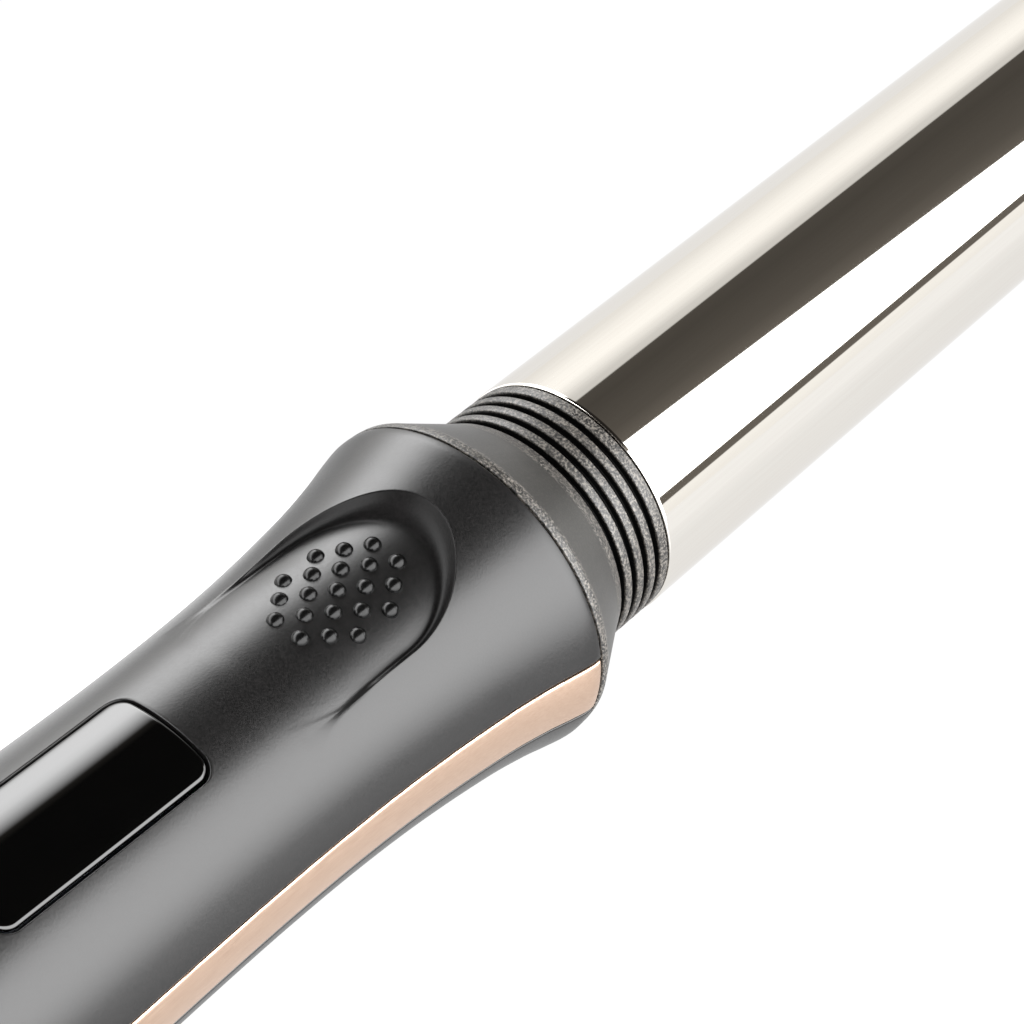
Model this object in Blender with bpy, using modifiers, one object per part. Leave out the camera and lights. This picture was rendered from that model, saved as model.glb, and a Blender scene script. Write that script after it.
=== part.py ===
"""Clipless curling iron (curling wand) with a 32 mm barrel, as an assembly of separate pieces.

The wand lies along X with the barrel's tip at +X and the display facing +Z. The origin is on
the surface it lies on, under the middle of its length. Stations are distances along the
axis from the barrel's foot, positive towards the tip and negative into the handle.
"""
import math

import bmesh
import bpy
from mathutils import Matrix, Vector

MM = 0.001

# --- overall ------------------------------------------------------------------------------
AXIS_HEIGHT = 22.2 * MM      # barrel axis above the surface the wand lies on
TIP_END = 174.0 * MM         # station of the cool tip's end
GLAND_END = -168.0 * MM      # station of the cord gland's rear face
FOOT_X = -(TIP_END + GLAND_END) / 2
GAP = 0.3 * MM               # clearance between touching pieces
SIDES = 40                   # facets round a large turned piece
SMALL_SIDES = 20             # facets round a small one
BORE_SIDES = 12
SHELL_STEPS = 24

# --- barrel -------------------------------------------------------------------------------
BARREL_RADIUS = 16.0 * MM
BARREL_WALL = 1.5 * MM
BARREL_END = 150.0 * MM
SPIGOT_RADIUS = 13.4 * MM
SPIGOT_BORE = 12.0 * MM
SPIGOT_END = -14.0 * MM
SPREADER_START = 14.0 * MM
SPREADER_LENGTH = 116.0 * MM
SPREADER_FACE_HEIGHT = 2.2 * MM   # flat face that bears on the heater, off the barrel axis
SPREADER_WALL = 1.6 * MM
SPREADER_STEPS = 14
THROAT_END = 1.9 * MM        # step inside the barrel where its spigot narrows
TIP_PLUG_END = 138.0 * MM    # inner end of the cool tip's plug
TIP_PLUG_WALL = 2.0 * MM
SPRING_START = 20.0 * MM
SPRING_END = 122.0 * MM
SPRING_WAVES = 44            # quarter waves along the wave spring
SPRING_HALF_WIDTH = 7.0 * MM

# --- ribbed collar ------------------------------------------------------------------------
COLLAR_RADIUS = 15.85 * MM
COLLAR_BORE = SPIGOT_RADIUS + GAP
END_RIM = 1.45 * MM
RIB_PITCH = 2.13 * MM
GROOVE_WIDTH = 0.88 * MM
GROOVE_DEPTH = 1.1 * MM
GROOVE_COUNT = 4
CONE_FRONT = -11.15 * MM
CONE_REAR = -17.15 * MM
BAND_END = -18.75 * MM       # rear edge of the nose band
BAND_RADIUS = 21.2 * MM
SKIRT_END = -23.5 * MM       # the collar's skirt that the shells close on
SKIRT_RADIUS = 17.4 * MM
SKIRT_BORE = 15.7 * MM
SKIRT_FLOOR = -15.2 * MM

# --- handle -------------------------------------------------------------------------------
SHELL_FRONT = BAND_END - GAP
SHELL_REAR = -150.0 * MM
SHELL_WALL = 2.4 * MM
FLARE_REAR = -34.0 * MM      # the shoulder's flare lies ahead of this station
# (station, radius) of the outer skin from the tail to the flared shoulder
HANDLE_STATIONS = [
    (-150.0 * MM, 17.3 * MM),
    (-128.0 * MM, 17.85 * MM),
    (-100.0 * MM, 17.5 * MM),
    (-76.0 * MM, 16.93 * MM),
    (-64.0 * MM, 16.8 * MM),
    (-52.6 * MM, 17.0 * MM),
    (-42.5 * MM, 17.6 * MM),
    (-31.7 * MM, 18.82 * MM),
    (-26.0 * MM, 19.85 * MM),
    (-22.5 * MM, 20.7 * MM),
    (-20.2 * MM, 21.2 * MM),
    (-19.05 * MM, 21.2 * MM),
]
SEAM_HALF_GAP = 0.6          # degrees either side of the parting line
STRIP_HALF_ANGLE = 10.0      # degrees either side of the parting line
STRIP_THICKNESS = 1.0 * MM
CHANNEL_HALF_ANGLE = 11.0
CUTTER_LOW = 5.0 * MM        # cutters through the top shell run between these heights
CUTTER_HIGH = 26.0 * MM      # above the axis, clear of the skin

# --- thumb scoop --------------------------------------------------------------------------
SCOOP_FLOOR = 16.8 * MM      # radius of the scoop's floor about the barrel axis
SCOOP_REAR_FLOOR = 17.1 * MM
SCOOP_CENTRE = -39.7 * MM
SCOOP_REAR = -54.0 * MM
SCOOP_SIDE_HEIGHT = 14.5 * MM
SCOOP_SIDE_RADIUS = 10.5 * MM
SCOOP_DRAFT = math.radians(30.0)
DOT_RADIUS = 1.05 * MM
DOT_SINK = 0.25 * MM
DOT_FIELD_CENTRE = -40.75 * MM
DOT_ROW_PITCH = 2.55 * MM
DOT_PITCH = 3.6 * MM
DOT_ROWS = (2, 3, 4, 3, 4, 3, 2)

# --- display ------------------------------------------------------------------------------
WINDOW_FRONT = -66.4 * MM
WINDOW_REAR = -95.4 * MM
WINDOW_HALF_WIDTH = 7.0 * MM
WINDOW_CORNER = 2.0 * MM
WINDOW_THICKNESS = 1.5 * MM
WINDOW_SEAT_DEPTH = 1.85 * MM
WINDOW_LEDGE = 1.6 * MM

# --- buttons ------------------------------------------------------------------------------
BUTTON_TOP = 17.9 * MM       # above the barrel axis
FLANGE_TOP = 13.9 * MM
FLANGE_THICKNESS = 0.8 * MM
STEM_RADIUS = 1.6 * MM
STEM_END = 10.6 * MM
FLANGE_REACH = 1.2 * MM      # flange beyond the cap's side
SWITCH_HALF = 3.0 * MM
SWITCH_TOP = 9.2 * MM
PLUNGER_RADIUS = 1.5 * MM
BUTTONS = {"minus": (-103.0 * MM, 3.6 * MM), "plus": (-113.5 * MM, 3.6 * MM),
           "power": (-126.0 * MM, 4.6 * MM)}

# --- board --------------------------------------------------------------------------------
BOARD_BOTTOM = 4.0 * MM
BOARD_TOP = 5.6 * MM
BOARD_FRONT = -60.0 * MM
BOARD_REAR = -132.0 * MM
BOARD_HALF_WIDTH = 11.5 * MM

# --- shell screws -------------------------------------------------------------------------
SCREW_STATIONS = {"front": -54.5 * MM, "rear": -138.5 * MM}
SCREW_OFFSET = 8.0 * MM
BOSS_RADIUS = 2.7 * MM
SCREW_HEAD_DEPTH = 11.3 * MM   # head's outer face below the barrel axis
SCREW_SHANK = 1.3 * MM
HEAD_RADIUS = 2.4 * MM

# --- cord gland ---------------------------------------------------------------------------
CORD_BORE = 3.3 * MM
NECK_RADIUS = 6.1 * MM       # the gland's neck, which turns in the tail cap
FLANGE_RADIUS = 9.5 * MM     # its flange inside the cap

# --- folding stand ------------------------------------------------------------------------
STAND_PIVOT_STATION = -29.0 * MM
STAND_PIVOT_HEIGHT = 1.9 * MM
STAND_LENGTH = 37.0 * MM
STAND_THICKNESS = 2.4 * MM
STAND_HALF_WIDTH = 6.5 * MM
KNUCKLE_HALF_WIDTH = 3.9 * MM
LUG_INNER = 4.3 * MM
LUG_OUTER = 7.0 * MM
LUG_HALF_LENGTH = 3.5 * MM
LUG_TOP = 5.1 * MM
PIN_RADIUS = 0.9 * MM
STAND_TOE = 5.0 * MM         # radius of the stand's rounded far corners
TOE_STEPS = 5

AXIS_POINT = Vector((FOOT_X, 0.0, AXIS_HEIGHT))
ALONG_X = (0.0, math.radians(90.0), 0.0)      # turns a local Z axis onto world +X
ALONG_Y = (math.radians(90.0), 0.0, 0.0)


def clear_scene():
    for old in list(bpy.data.objects):
        bpy.data.objects.remove(old, do_unlink=True)


def new_collection(name):
    collection = bpy.data.collections.new(name)
    bpy.context.scene.collection.children.link(collection)
    return collection


def srgb(hex_code):
    """Linear colour from an sRGB hex code."""
    values = [int(hex_code[i:i + 2], 16) / 255 for i in (0, 2, 4)]
    linear = [v / 12.92 if v <= 0.04045 else ((v + 0.055) / 1.055) ** 2.4 for v in values]
    return (*linear, 1.0)


def material(name, hex_code, roughness, metallic=0.0):
    mat = bpy.data.materials.new(name)
    mat.use_nodes = True
    shader = mat.node_tree.nodes["Principled BSDF"]
    shader.inputs["Base Color"].default_value = srgb(hex_code)
    shader.inputs["Roughness"].default_value = roughness
    shader.inputs["Metallic"].default_value = metallic
    mat.diffuse_color = srgb(hex_code)
    return mat


def handle_radius(station):
    """Outer radius of the handle: a smooth curve through HANDLE_STATIONS."""
    points = HANDLE_STATIONS
    last = len(points) - 1
    i = max(0, min(last - 1, sum(1 for p in points if p[0] <= station) - 1))

    def slope(k):
        low, high = max(k - 1, 0), min(k + 1, last)
        return (points[high][1] - points[low][1]) / (points[high][0] - points[low][0])

    span = points[i + 1][0] - points[i][0]
    t = (station - points[i][0]) / span
    return ((2 * t ** 3 - 3 * t ** 2 + 1) * points[i][1]
            + (t ** 3 - 2 * t ** 2 + t) * span * slope(i)
            + (3 * t ** 2 - 2 * t ** 3) * points[i + 1][1]
            + (t ** 3 - t ** 2) * span * slope(i + 1))


def skin(front, rear, inset=0.0, count=12):
    """Points along the handle's skin from front to rear, moved inwards by inset."""
    stations = [front + (rear - front) * k / count for k in range(count + 1)]
    return [(s, handle_radius(s) - inset) for s in stations]


# --- object builders ----------------------------------------------------------------------
def add_object(name, mesh, mat, collection, location=(0, 0, 0), rotation=(0, 0, 0)):
    obj = bpy.data.objects.new(name, mesh)
    obj.location = location
    obj.rotation_euler = rotation
    collection.objects.link(obj)
    if mat:
        mesh.materials.append(mat)
    else:
        obj.hide_render = True
        obj.display_type = "WIRE"
    return obj


def shade(mesh, angle=30.0):
    mesh.shade_smooth()
    mesh.set_sharp_from_angle(angle=math.radians(angle))


def turned(name, profile, mat, collection, sides=SIDES, location=AXIS_POINT, rotation=ALONG_X):
    """Solid of revolution; the profile (height, radius) runs down its outer side."""
    mesh = bpy.data.meshes.new(name)
    verts = [(radius, 0.0, height) for height, radius in profile]
    edges = [(i, i + 1) for i in range(len(verts) - 1)]
    if profile[0][1] > 0 or profile[-1][1] > 0:
        edges.append((len(verts) - 1, 0))
    mesh.from_pydata(verts, edges, [])
    obj = add_object(name, mesh, mat, collection, location, rotation)
    screw = obj.modifiers.new("Turn", "SCREW")
    screw.steps = sides
    screw.render_steps = sides
    screw.use_merge_vertices = True
    screw.merge_threshold = 0.00001
    screw.use_smooth_shade = True
    return obj


def finish_mesh(bm, name):
    bmesh.ops.recalc_face_normals(bm, faces=bm.faces)
    mesh = bpy.data.meshes.new(name)
    bm.to_mesh(mesh)
    bm.free()
    shade(mesh)
    return mesh


def sector(name, profile, start, end, steps, mat, collection):
    """Part of a turned ring between two clock angles, in degrees from the display side."""
    bm = bmesh.new()
    face = bm.faces.new([bm.verts.new((s, 0.0, r)) for s, r in profile])
    bmesh.ops.rotate(bm, verts=bm.verts, matrix=Matrix.Rotation(math.radians(start), 3, "X"))
    bmesh.ops.spin(bm, geom=[face, *face.edges, *face.verts], axis=(1, 0, 0), cent=(0, 0, 0),
                   angle=math.radians(end - start), steps=steps)
    return add_object(name, finish_mesh(bm, name), mat, collection, AXIS_POINT)


def prism(name, low, high, mat, collection, location=AXIS_POINT):
    """Straight or tapered prism between two outlines, each (points, height)."""
    bm = bmesh.new()
    base = bm.faces.new([bm.verts.new((x, y, low[1])) for x, y in low[0]])
    grown = bmesh.ops.extrude_face_region(bm, geom=[base])["geom"]
    top = [item for item in grown if isinstance(item, bmesh.types.BMVert)]
    for vert in top:
        flat = vert.co.to_2d()
        nearest = min(range(len(low[0])), key=lambda i: (Vector(low[0][i]) - flat).length)
        vert.co = (*high[0][nearest], high[1])
    return add_object(name, finish_mesh(bm, name), mat, collection, location)


def box(name, low, high, mat, collection, bevel=0.0):
    """Box between two corners, given as station, sideways and height above the axis."""
    bm = bmesh.new()
    bmesh.ops.create_cube(bm, size=1.0)
    size = Vector(high) - Vector(low)
    centre = (Vector(high) + Vector(low)) / 2
    bmesh.ops.scale(bm, vec=size, verts=bm.verts)
    obj = add_object(name, finish_mesh(bm, name), mat, collection, AXIS_POINT + centre)
    if bevel:
        edge = obj.modifiers.new("Edges", "BEVEL")
        edge.width = bevel
        edge.segments = 2
    return obj


def rod(name, centre, radius, length, mat, collection, rotation=(0, 0, 0), sides=SMALL_SIDES):
    """Plain cylinder about its own Z axis, turned by rotation."""
    bm = bmesh.new()
    bmesh.ops.create_cone(bm, cap_ends=True, segments=sides, radius1=radius, radius2=radius,
                          depth=length)
    return add_object(name, finish_mesh(bm, name), mat, collection, centre, rotation)


def boolean(target, tool, operation="DIFFERENCE"):
    cut = target.modifiers.new(tool.name, "BOOLEAN")
    cut.object = tool
    cut.operation = operation
    cut.solver = "EXACT"


def rounded_rectangle(low_x, high_x, half_y, corner, steps=5):
    points = []
    for cx, cy, first in ((high_x - corner, half_y - corner, 0), (low_x + corner, half_y - corner, 90),
                          (low_x + corner, corner - half_y, 180), (high_x - corner, corner - half_y, 270)):
        for k in range(steps + 1):
            turn = math.radians(first + 90 * k / steps)
            points.append((cx + corner * math.cos(turn), cy + corner * math.sin(turn)))
    return points


def above_axis(station, sideways=0.0, height=0.0):
    return AXIS_POINT + Vector((station, sideways, height))


# --- barrel and heater --------------------------------------------------------------------
def make_barrel(parts):
    steel = material("polished_titanium_plate", "d8d5d0", 0.08, 1.0)
    inner = BARREL_RADIUS - BARREL_WALL
    turned("barrel_tube", [
        (BARREL_END, BARREL_RADIUS), (1.6 * MM, BARREL_RADIUS), (0.9 * MM, 15.85 * MM),
        (0.5 * MM, 15.5 * MM), (GAP, 15.0 * MM), (GAP, SPIGOT_RADIUS),
        (SPIGOT_END, SPIGOT_RADIUS), (SPIGOT_END, SPIGOT_BORE), (THROAT_END, SPIGOT_BORE),
        (THROAT_END, inner), (BARREL_END, inner)], steel, parts)
    plastic = material("heat_resistant_pps", "242323", 0.5)
    plug = inner - GAP
    turned("cool_tip", [
        (TIP_END, 0.0), (TIP_END, 9.0 * MM), (173.2 * MM, 12.0 * MM), (171.2 * MM, 14.4 * MM),
        (168.5 * MM, 15.7 * MM), (166.0 * MM, BARREL_RADIUS), (BARREL_END + GAP, BARREL_RADIUS),
        (BARREL_END + GAP, plug), (TIP_PLUG_END, plug), (TIP_PLUG_END, plug - TIP_PLUG_WALL),
        (170.0 * MM, plug - TIP_PLUG_WALL), (171.5 * MM, 10.0 * MM), (171.5 * MM, 0.0)],
        plastic, parts)


def make_spreader(parts, name, side, metal):
    """Half-round hollow extrusion that presses against the barrel's inner wall."""
    web = SPREADER_FACE_HEIGHT
    outer = BARREL_RADIUS - BARREL_WALL - GAP
    wall = SPREADER_WALL
    start = math.degrees(math.asin(web / outer))
    count = SPREADER_STEPS
    arc = [math.radians(start + (180 - 2 * start) * k / count) for k in range(count + 1)]
    outline = [(outer * math.cos(t), side * outer * math.sin(t)) for t in arc]
    hollow_start = math.asin((web + wall) / (outer - wall))
    hollow = [hollow_start + (math.pi - 2 * hollow_start) * k / count for k in range(count + 1)]
    window = [((outer - wall) * math.cos(t), side * (outer - wall) * math.sin(t)) for t in hollow]
    curve = bpy.data.curves.new(name, "CURVE")
    curve.dimensions = "2D"
    curve.fill_mode = "BOTH"
    curve.extrude = SPREADER_LENGTH / 2
    for loop in (outline, window):
        spline = curve.splines.new("POLY")
        spline.points.add(len(loop) - 1)
        spline.use_cyclic_u = True
        for point, (across, up) in zip(spline.points, loop):
            point.co = (-up, across, 0.0, 1.0)
    curve.materials.append(metal)
    obj = bpy.data.objects.new(name, curve)
    obj.location = above_axis(SPREADER_START + SPREADER_LENGTH / 2)
    obj.rotation_euler = ALONG_X
    parts.objects.link(obj)


def make_heater(parts, cutters):
    aluminium = material("extruded_aluminium", "b9bbbd", 0.4, 1.0)
    ceramic = material("alumina_ceramic", "e8e4da", 0.6)
    mica = material("mica_board", "b59a72", 0.7)
    resin = material("phenolic_resin", "3b2a22", 0.6)
    spring_steel = material("spring_steel", "8f9092", 0.35, 1.0)
    make_spreader(parts, "upper_heat_spreader", 1, aluminium)
    make_spreader(parts, "lower_heat_spreader", -1, aluminium)
    box("ceramic_heater", (16 * MM, -9 * MM, -0.6 * MM), (126 * MM, 9 * MM, 1.6 * MM), ceramic, parts)
    make_wave_spring(parts, spring_steel)
    turned("tip_bush", [(134 * MM, 14.1 * MM), (131 * MM, 14.1 * MM), (131 * MM, 4 * MM),
                        (134 * MM, 4 * MM)], mica, parts, SMALL_SIDES)
    seat = turned("heater_seat", [
        (5.5 * MM, 0.0), (5.5 * MM, 11.6 * MM), (-15.5 * MM, 11.6 * MM), (-15.5 * MM, 15.3 * MM),
        (-18.0 * MM, 15.3 * MM), (-18.0 * MM, 0.0)], resin, parts, SMALL_SIDES)
    slot = box("seat_slot_cutter", (-30 * MM, -7 * MM, -2.4 * MM), (20 * MM, 7 * MM, 2.4 * MM),
               None, cutters)
    boolean(seat, slot)
    fuse_steel = material("nickel_plate", "a9a59d", 0.3, 1.0)
    rod("thermal_fuse", above_axis(40 * MM, 4 * MM, 7 * MM), 2.0 * MM, 12 * MM, fuse_steel, parts,
        ALONG_X)
    glass = material("glass_bead", "a33a1e", 0.2)
    rod("thermistor", above_axis(78 * MM, 0, 7 * MM), 1.5 * MM, 6 * MM, glass, parts, ALONG_X)


def make_wave_spring(parts, metal):
    """Corrugated strip that pushes the ceramic heater against the upper spreader."""
    count = SPRING_WAVES
    bm = bmesh.new()
    middle, swing, half = -1.4 * MM, 0.25 * MM, 0.12 * MM
    line = []
    for k in range(count + 1):
        station = SPRING_START + (SPRING_END - SPRING_START) * k / count
        line.append((station, middle + swing * math.sin(math.pi * k / 2)))
    outline = [(s, z + half) for s, z in line] + [(s, z - half) for s, z in reversed(line)]
    face = bm.faces.new([bm.verts.new((s, -SPRING_HALF_WIDTH, z)) for s, z in outline])
    grown = bmesh.ops.extrude_face_region(bm, geom=[face])["geom"]
    verts = [item for item in grown if isinstance(item, bmesh.types.BMVert)]
    bmesh.ops.translate(bm, verts=verts, vec=(0, 2 * SPRING_HALF_WIDTH, 0))
    add_object("wave_spring", finish_mesh(bm, "wave_spring"), metal, parts, AXIS_POINT)


# --- collar and handle --------------------------------------------------------------------
def make_collar(parts):
    plastic = material("spark_textured_nylon", "2c2b2b", 0.62)
    floor = COLLAR_RADIUS - GROOVE_DEPTH
    profile = [(0.0, COLLAR_RADIUS - 0.2 * MM), (-0.25 * MM, COLLAR_RADIUS)]
    for k in range(GROOVE_COUNT):
        front = -END_RIM - k * RIB_PITCH
        rear = front - GROOVE_WIDTH
        profile += [(front, COLLAR_RADIUS), (front, floor), (rear, floor), (rear, COLLAR_RADIUS)]
    profile += [(CONE_FRONT, 17.1 * MM), (CONE_REAR, 20.66 * MM), (-17.6 * MM, 20.97 * MM),
                (-18.1 * MM, 21.14 * MM), (BAND_END, BAND_RADIUS), (BAND_END, SKIRT_RADIUS),
                (SKIRT_END, SKIRT_RADIUS), (SKIRT_END, SKIRT_BORE), (SKIRT_FLOOR, SKIRT_BORE),
                (SKIRT_FLOOR, COLLAR_BORE), (0.0, COLLAR_BORE)]
    turned("ribbed_collar", profile, plastic, parts)


def outer_skin():
    """Skin points from shoulder to tail, closer together where the shoulder flares."""
    return skin(SHELL_FRONT, FLARE_REAR, count=7) + skin(FLARE_REAR - 4 * MM, SHELL_REAR, count=10)


def shell_profile():
    inner = skin(SHELL_REAR, FLARE_REAR, SHELL_WALL, 6) + skin(-26.0 * MM, SHELL_FRONT, SHELL_WALL, 2)
    return outer_skin() + inner


def channel_profile():
    front, rear = SHELL_FRONT + 2 * MM, SHELL_REAR - 2 * MM
    depth = STRIP_THICKNESS + GAP
    stations = skin(SHELL_FRONT, SHELL_REAR, depth, 18)
    floor = [(front, stations[0][1]), *stations, (rear, stations[-1][1])]
    return floor + [(rear, CUTTER_HIGH), (front, CUTTER_HIGH)]


def scoop_outline(height, count=14):
    radius = SCOOP_SIDE_RADIUS + (height - SCOOP_SIDE_HEIGHT) * math.tan(SCOOP_DRAFT)
    arc = [math.radians(-90 + 180 * k / count) for k in range(count + 1)]
    points = [(SCOOP_CENTRE + radius * math.cos(t), radius * math.sin(t)) for t in arc]
    return points + [(SCOOP_REAR, radius), (SCOOP_REAR, -radius)]


def cut_scoop(shell, cutters):
    low, high = 8.0 * MM, CUTTER_HIGH
    tool = prism("scoop_cutter", (scoop_outline(low), low), (scoop_outline(high), high), None, cutters)
    core = turned("scoop_core", [
        (-10 * MM, 0.0), (-10 * MM, SCOOP_FLOOR), (SCOOP_CENTRE, SCOOP_FLOOR),
        (SCOOP_REAR - MM, SCOOP_REAR_FLOOR), (SCOOP_REAR - MM, 0.0)], None, cutters, 64)
    boolean(tool, core)
    boolean(shell, tool)


def add_dots(shell, cutters):
    """Raised grip dots in staggered rows on the scoop's floor."""
    middle = (len(DOT_ROWS) - 1) / 2
    for row, number in enumerate(DOT_ROWS):
        station = DOT_FIELD_CENTRE + (row - middle) * DOT_ROW_PITCH
        for k in range(number):
            sideways = (k - (number - 1) / 2) * DOT_PITCH
            reach = SCOOP_FLOOR - DOT_SINK
            height = math.sqrt(reach ** 2 - sideways ** 2)
            bm = bmesh.new()
            bmesh.ops.create_uvsphere(bm, u_segments=7, v_segments=5, radius=DOT_RADIUS)
            name = f"dot_{row}_{k}"
            dot = add_object(name, finish_mesh(bm, name), None, cutters,
                             above_axis(station, sideways, height))
            boolean(shell, dot, "UNION")


def cut_window(shell, cutters):
    outline = rounded_rectangle(WINDOW_REAR - GAP, WINDOW_FRONT + GAP, WINDOW_HALF_WIDTH + GAP,
                                WINDOW_CORNER + GAP)
    recess = prism("window_recess_cutter", (outline, CUTTER_LOW), (outline, CUTTER_HIGH), None, cutters)
    front, rear = WINDOW_FRONT + 6 * MM, WINDOW_REAR - 6 * MM
    seat = turned("window_seat_core", [
        (front, 0.0), *skin(front, rear, WINDOW_SEAT_DEPTH, 8), (rear, 0.0)], None, cutters, 64)
    boolean(recess, seat)
    boolean(shell, recess)
    inner = rounded_rectangle(WINDOW_REAR + WINDOW_LEDGE, WINDOW_FRONT - WINDOW_LEDGE,
                              WINDOW_HALF_WIDTH - WINDOW_LEDGE, WINDOW_CORNER)
    boolean(shell, prism("window_light_cutter", (inner, CUTTER_LOW), (inner, CUTTER_HIGH), None, cutters))


def make_screw_places():
    places = []
    for where, station in SCREW_STATIONS.items():
        places.append((f"{where}_left", station, SCREW_OFFSET))
        places.append((f"{where}_right", station, -SCREW_OFFSET))
    return places


def boss_reach(station):
    """Height at which a boss ends inside the shell wall."""
    return math.sqrt((handle_radius(station) - SHELL_WALL / 2) ** 2 - SCREW_OFFSET ** 2)


def make_top_shell(parts, cutters, plastic):
    half = 90 - SEAM_HALF_GAP
    shell = sector("top_shell", shell_profile(), -half, half, SHELL_STEPS, plastic, parts)
    for side in (-90, 90):
        channel = sector(f"top_channel_{side}", channel_profile(), side - CHANNEL_HALF_ANGLE,
                         side + CHANNEL_HALF_ANGLE, 4, None, cutters)
        boolean(shell, channel)
    for label, station, sideways in make_screw_places():
        end = boss_reach(station) - 0.5 * MM
        start = GAP
        boss = rod(f"top_boss_{label}", above_axis(station, sideways, (start + end) / 2), BOSS_RADIUS,
                   end - start, None, cutters, sides=BORE_SIDES)
        boolean(shell, boss, "UNION")
        pilot = rod(f"pilot_{label}", above_axis(station, sideways, 3 * MM), SCREW_SHANK + GAP,
                    12 * MM, None, cutters, sides=BORE_SIDES)
        boolean(shell, pilot)
    cut_scoop(shell, cutters)
    add_dots(shell, cutters)
    cut_window(shell, cutters)
    for label, (station, radius) in BUTTONS.items():
        hole = rod(f"{label}_hole_cutter", above_axis(station, 0, 18 * MM), radius + GAP, 16 * MM,
                   None, cutters)
        boolean(shell, hole)


def make_bottom_shell(parts, cutters, plastic):
    half = 90 - SEAM_HALF_GAP
    shell = sector("bottom_shell", shell_profile(), 180 - half, 180 + half, SHELL_STEPS, plastic,
                   parts)
    for side in (-90, 90):
        channel = sector(f"bottom_channel_{side}", channel_profile(), side - CHANNEL_HALF_ANGLE,
                         side + CHANNEL_HALF_ANGLE, 4, None, cutters)
        boolean(shell, channel)
    for label, station, sideways in make_screw_places():
        end = boss_reach(station) - 0.5 * MM
        start = GAP
        boss = rod(f"bottom_boss_{label}", above_axis(station, sideways, -(start + end) / 2),
                   BOSS_RADIUS + 1 * MM, end - start, None, cutters, sides=BORE_SIDES)
        boolean(shell, boss, "UNION")
        hole = rod(f"shank_hole_{label}", above_axis(station, sideways, -8 * MM), SCREW_SHANK + GAP,
                   20 * MM, None, cutters, sides=BORE_SIDES)
        boolean(shell, hole)
        bore_top = -SCREW_HEAD_DEPTH + 2.5 * MM
        sink = rod(f"head_sink_{label}", above_axis(station, sideways, bore_top - 8 * MM),
                   HEAD_RADIUS + GAP, 16 * MM, None, cutters, sides=BORE_SIDES)
        boolean(shell, sink)
    add_stand_lugs(shell, cutters)


def add_stand_lugs(shell, cutters):
    pivot = Vector((FOOT_X + STAND_PIVOT_STATION, 0.0, STAND_PIVOT_HEIGHT))
    for side in (-1, 1):
        low = (STAND_PIVOT_STATION - LUG_HALF_LENGTH, min(side * LUG_INNER, side * LUG_OUTER),
               -AXIS_HEIGHT)
        high = (STAND_PIVOT_STATION + LUG_HALF_LENGTH, max(side * LUG_INNER, side * LUG_OUTER),
                LUG_TOP - AXIS_HEIGHT)
        boolean(shell, box(f"lug_{side}", low, high, None, cutters), "UNION")
    notch = rod("knuckle_notch_cutter", pivot, STAND_PIVOT_HEIGHT + 2 * GAP, 2 * LUG_INNER, None,
                cutters, ALONG_Y)
    boolean(shell, notch)
    bore = rod("pin_bore_cutter", pivot, PIN_RADIUS + GAP, 20 * MM, None, cutters, ALONG_Y, 16)
    boolean(shell, bore)


def make_screws(parts):
    steel = material("zinc_plated_steel", "a7a8a6", 0.35, 1.0)
    head = -SCREW_HEAD_DEPTH
    for label, station, sideways in make_screw_places():
        turned(f"shell_screw_{label}", [
            (7.0 * MM, 0.0), (7.0 * MM, SCREW_SHANK), (head + 2.2 * MM, SCREW_SHANK),
            (head + 2.2 * MM, HEAD_RADIUS), (head + 0.5 * MM, HEAD_RADIUS),
            (head, HEAD_RADIUS - 0.5 * MM), (head, 0.0)], steel, parts, 16,
            above_axis(station, sideways), (0, 0, 0))


def make_trim(parts):
    metal = material("rose_gold_anodised_aluminium", "d4b9a5", 0.3, 1.0)
    inner = skin(SHELL_REAR, SHELL_FRONT, STRIP_THICKNESS, 18)
    for name, middle in (("left_trim_strip", -90), ("right_trim_strip", 90)):
        sector(name, outer_skin() + inner, middle - STRIP_HALF_ANGLE, middle + STRIP_HALF_ANGLE, 4, metal,
               parts)


# --- display, buttons and board -----------------------------------------------------------
def make_display(parts, cutters):
    glossy = material("piano_black_acrylic", "0b0b0c", 0.06)
    front, rear = WINDOW_FRONT, WINDOW_REAR
    profile = skin(front + 2 * MM, rear - 2 * MM, 0.0, 6) + skin(rear - 2 * MM, front + 2 * MM,
                                                                 WINDOW_THICKNESS, 6)
    window = sector("display_window", profile, -40, 40, 12, glossy, parts)
    outline = rounded_rectangle(rear, front, WINDOW_HALF_WIDTH, WINDOW_CORNER)
    tool = prism("window_outline_tool", (outline, CUTTER_LOW), (outline, CUTTER_HIGH), None, cutters)
    boolean(window, tool, "INTERSECT")
    module = material("lcd_module_frame", "3a3f45", 0.5)
    box("display_module", (-93.5 * MM, -5.5 * MM, BOARD_TOP + GAP), (-68.5 * MM, 5.5 * MM, 12.6 * MM),
        module, parts, 0.4 * MM)


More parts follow.
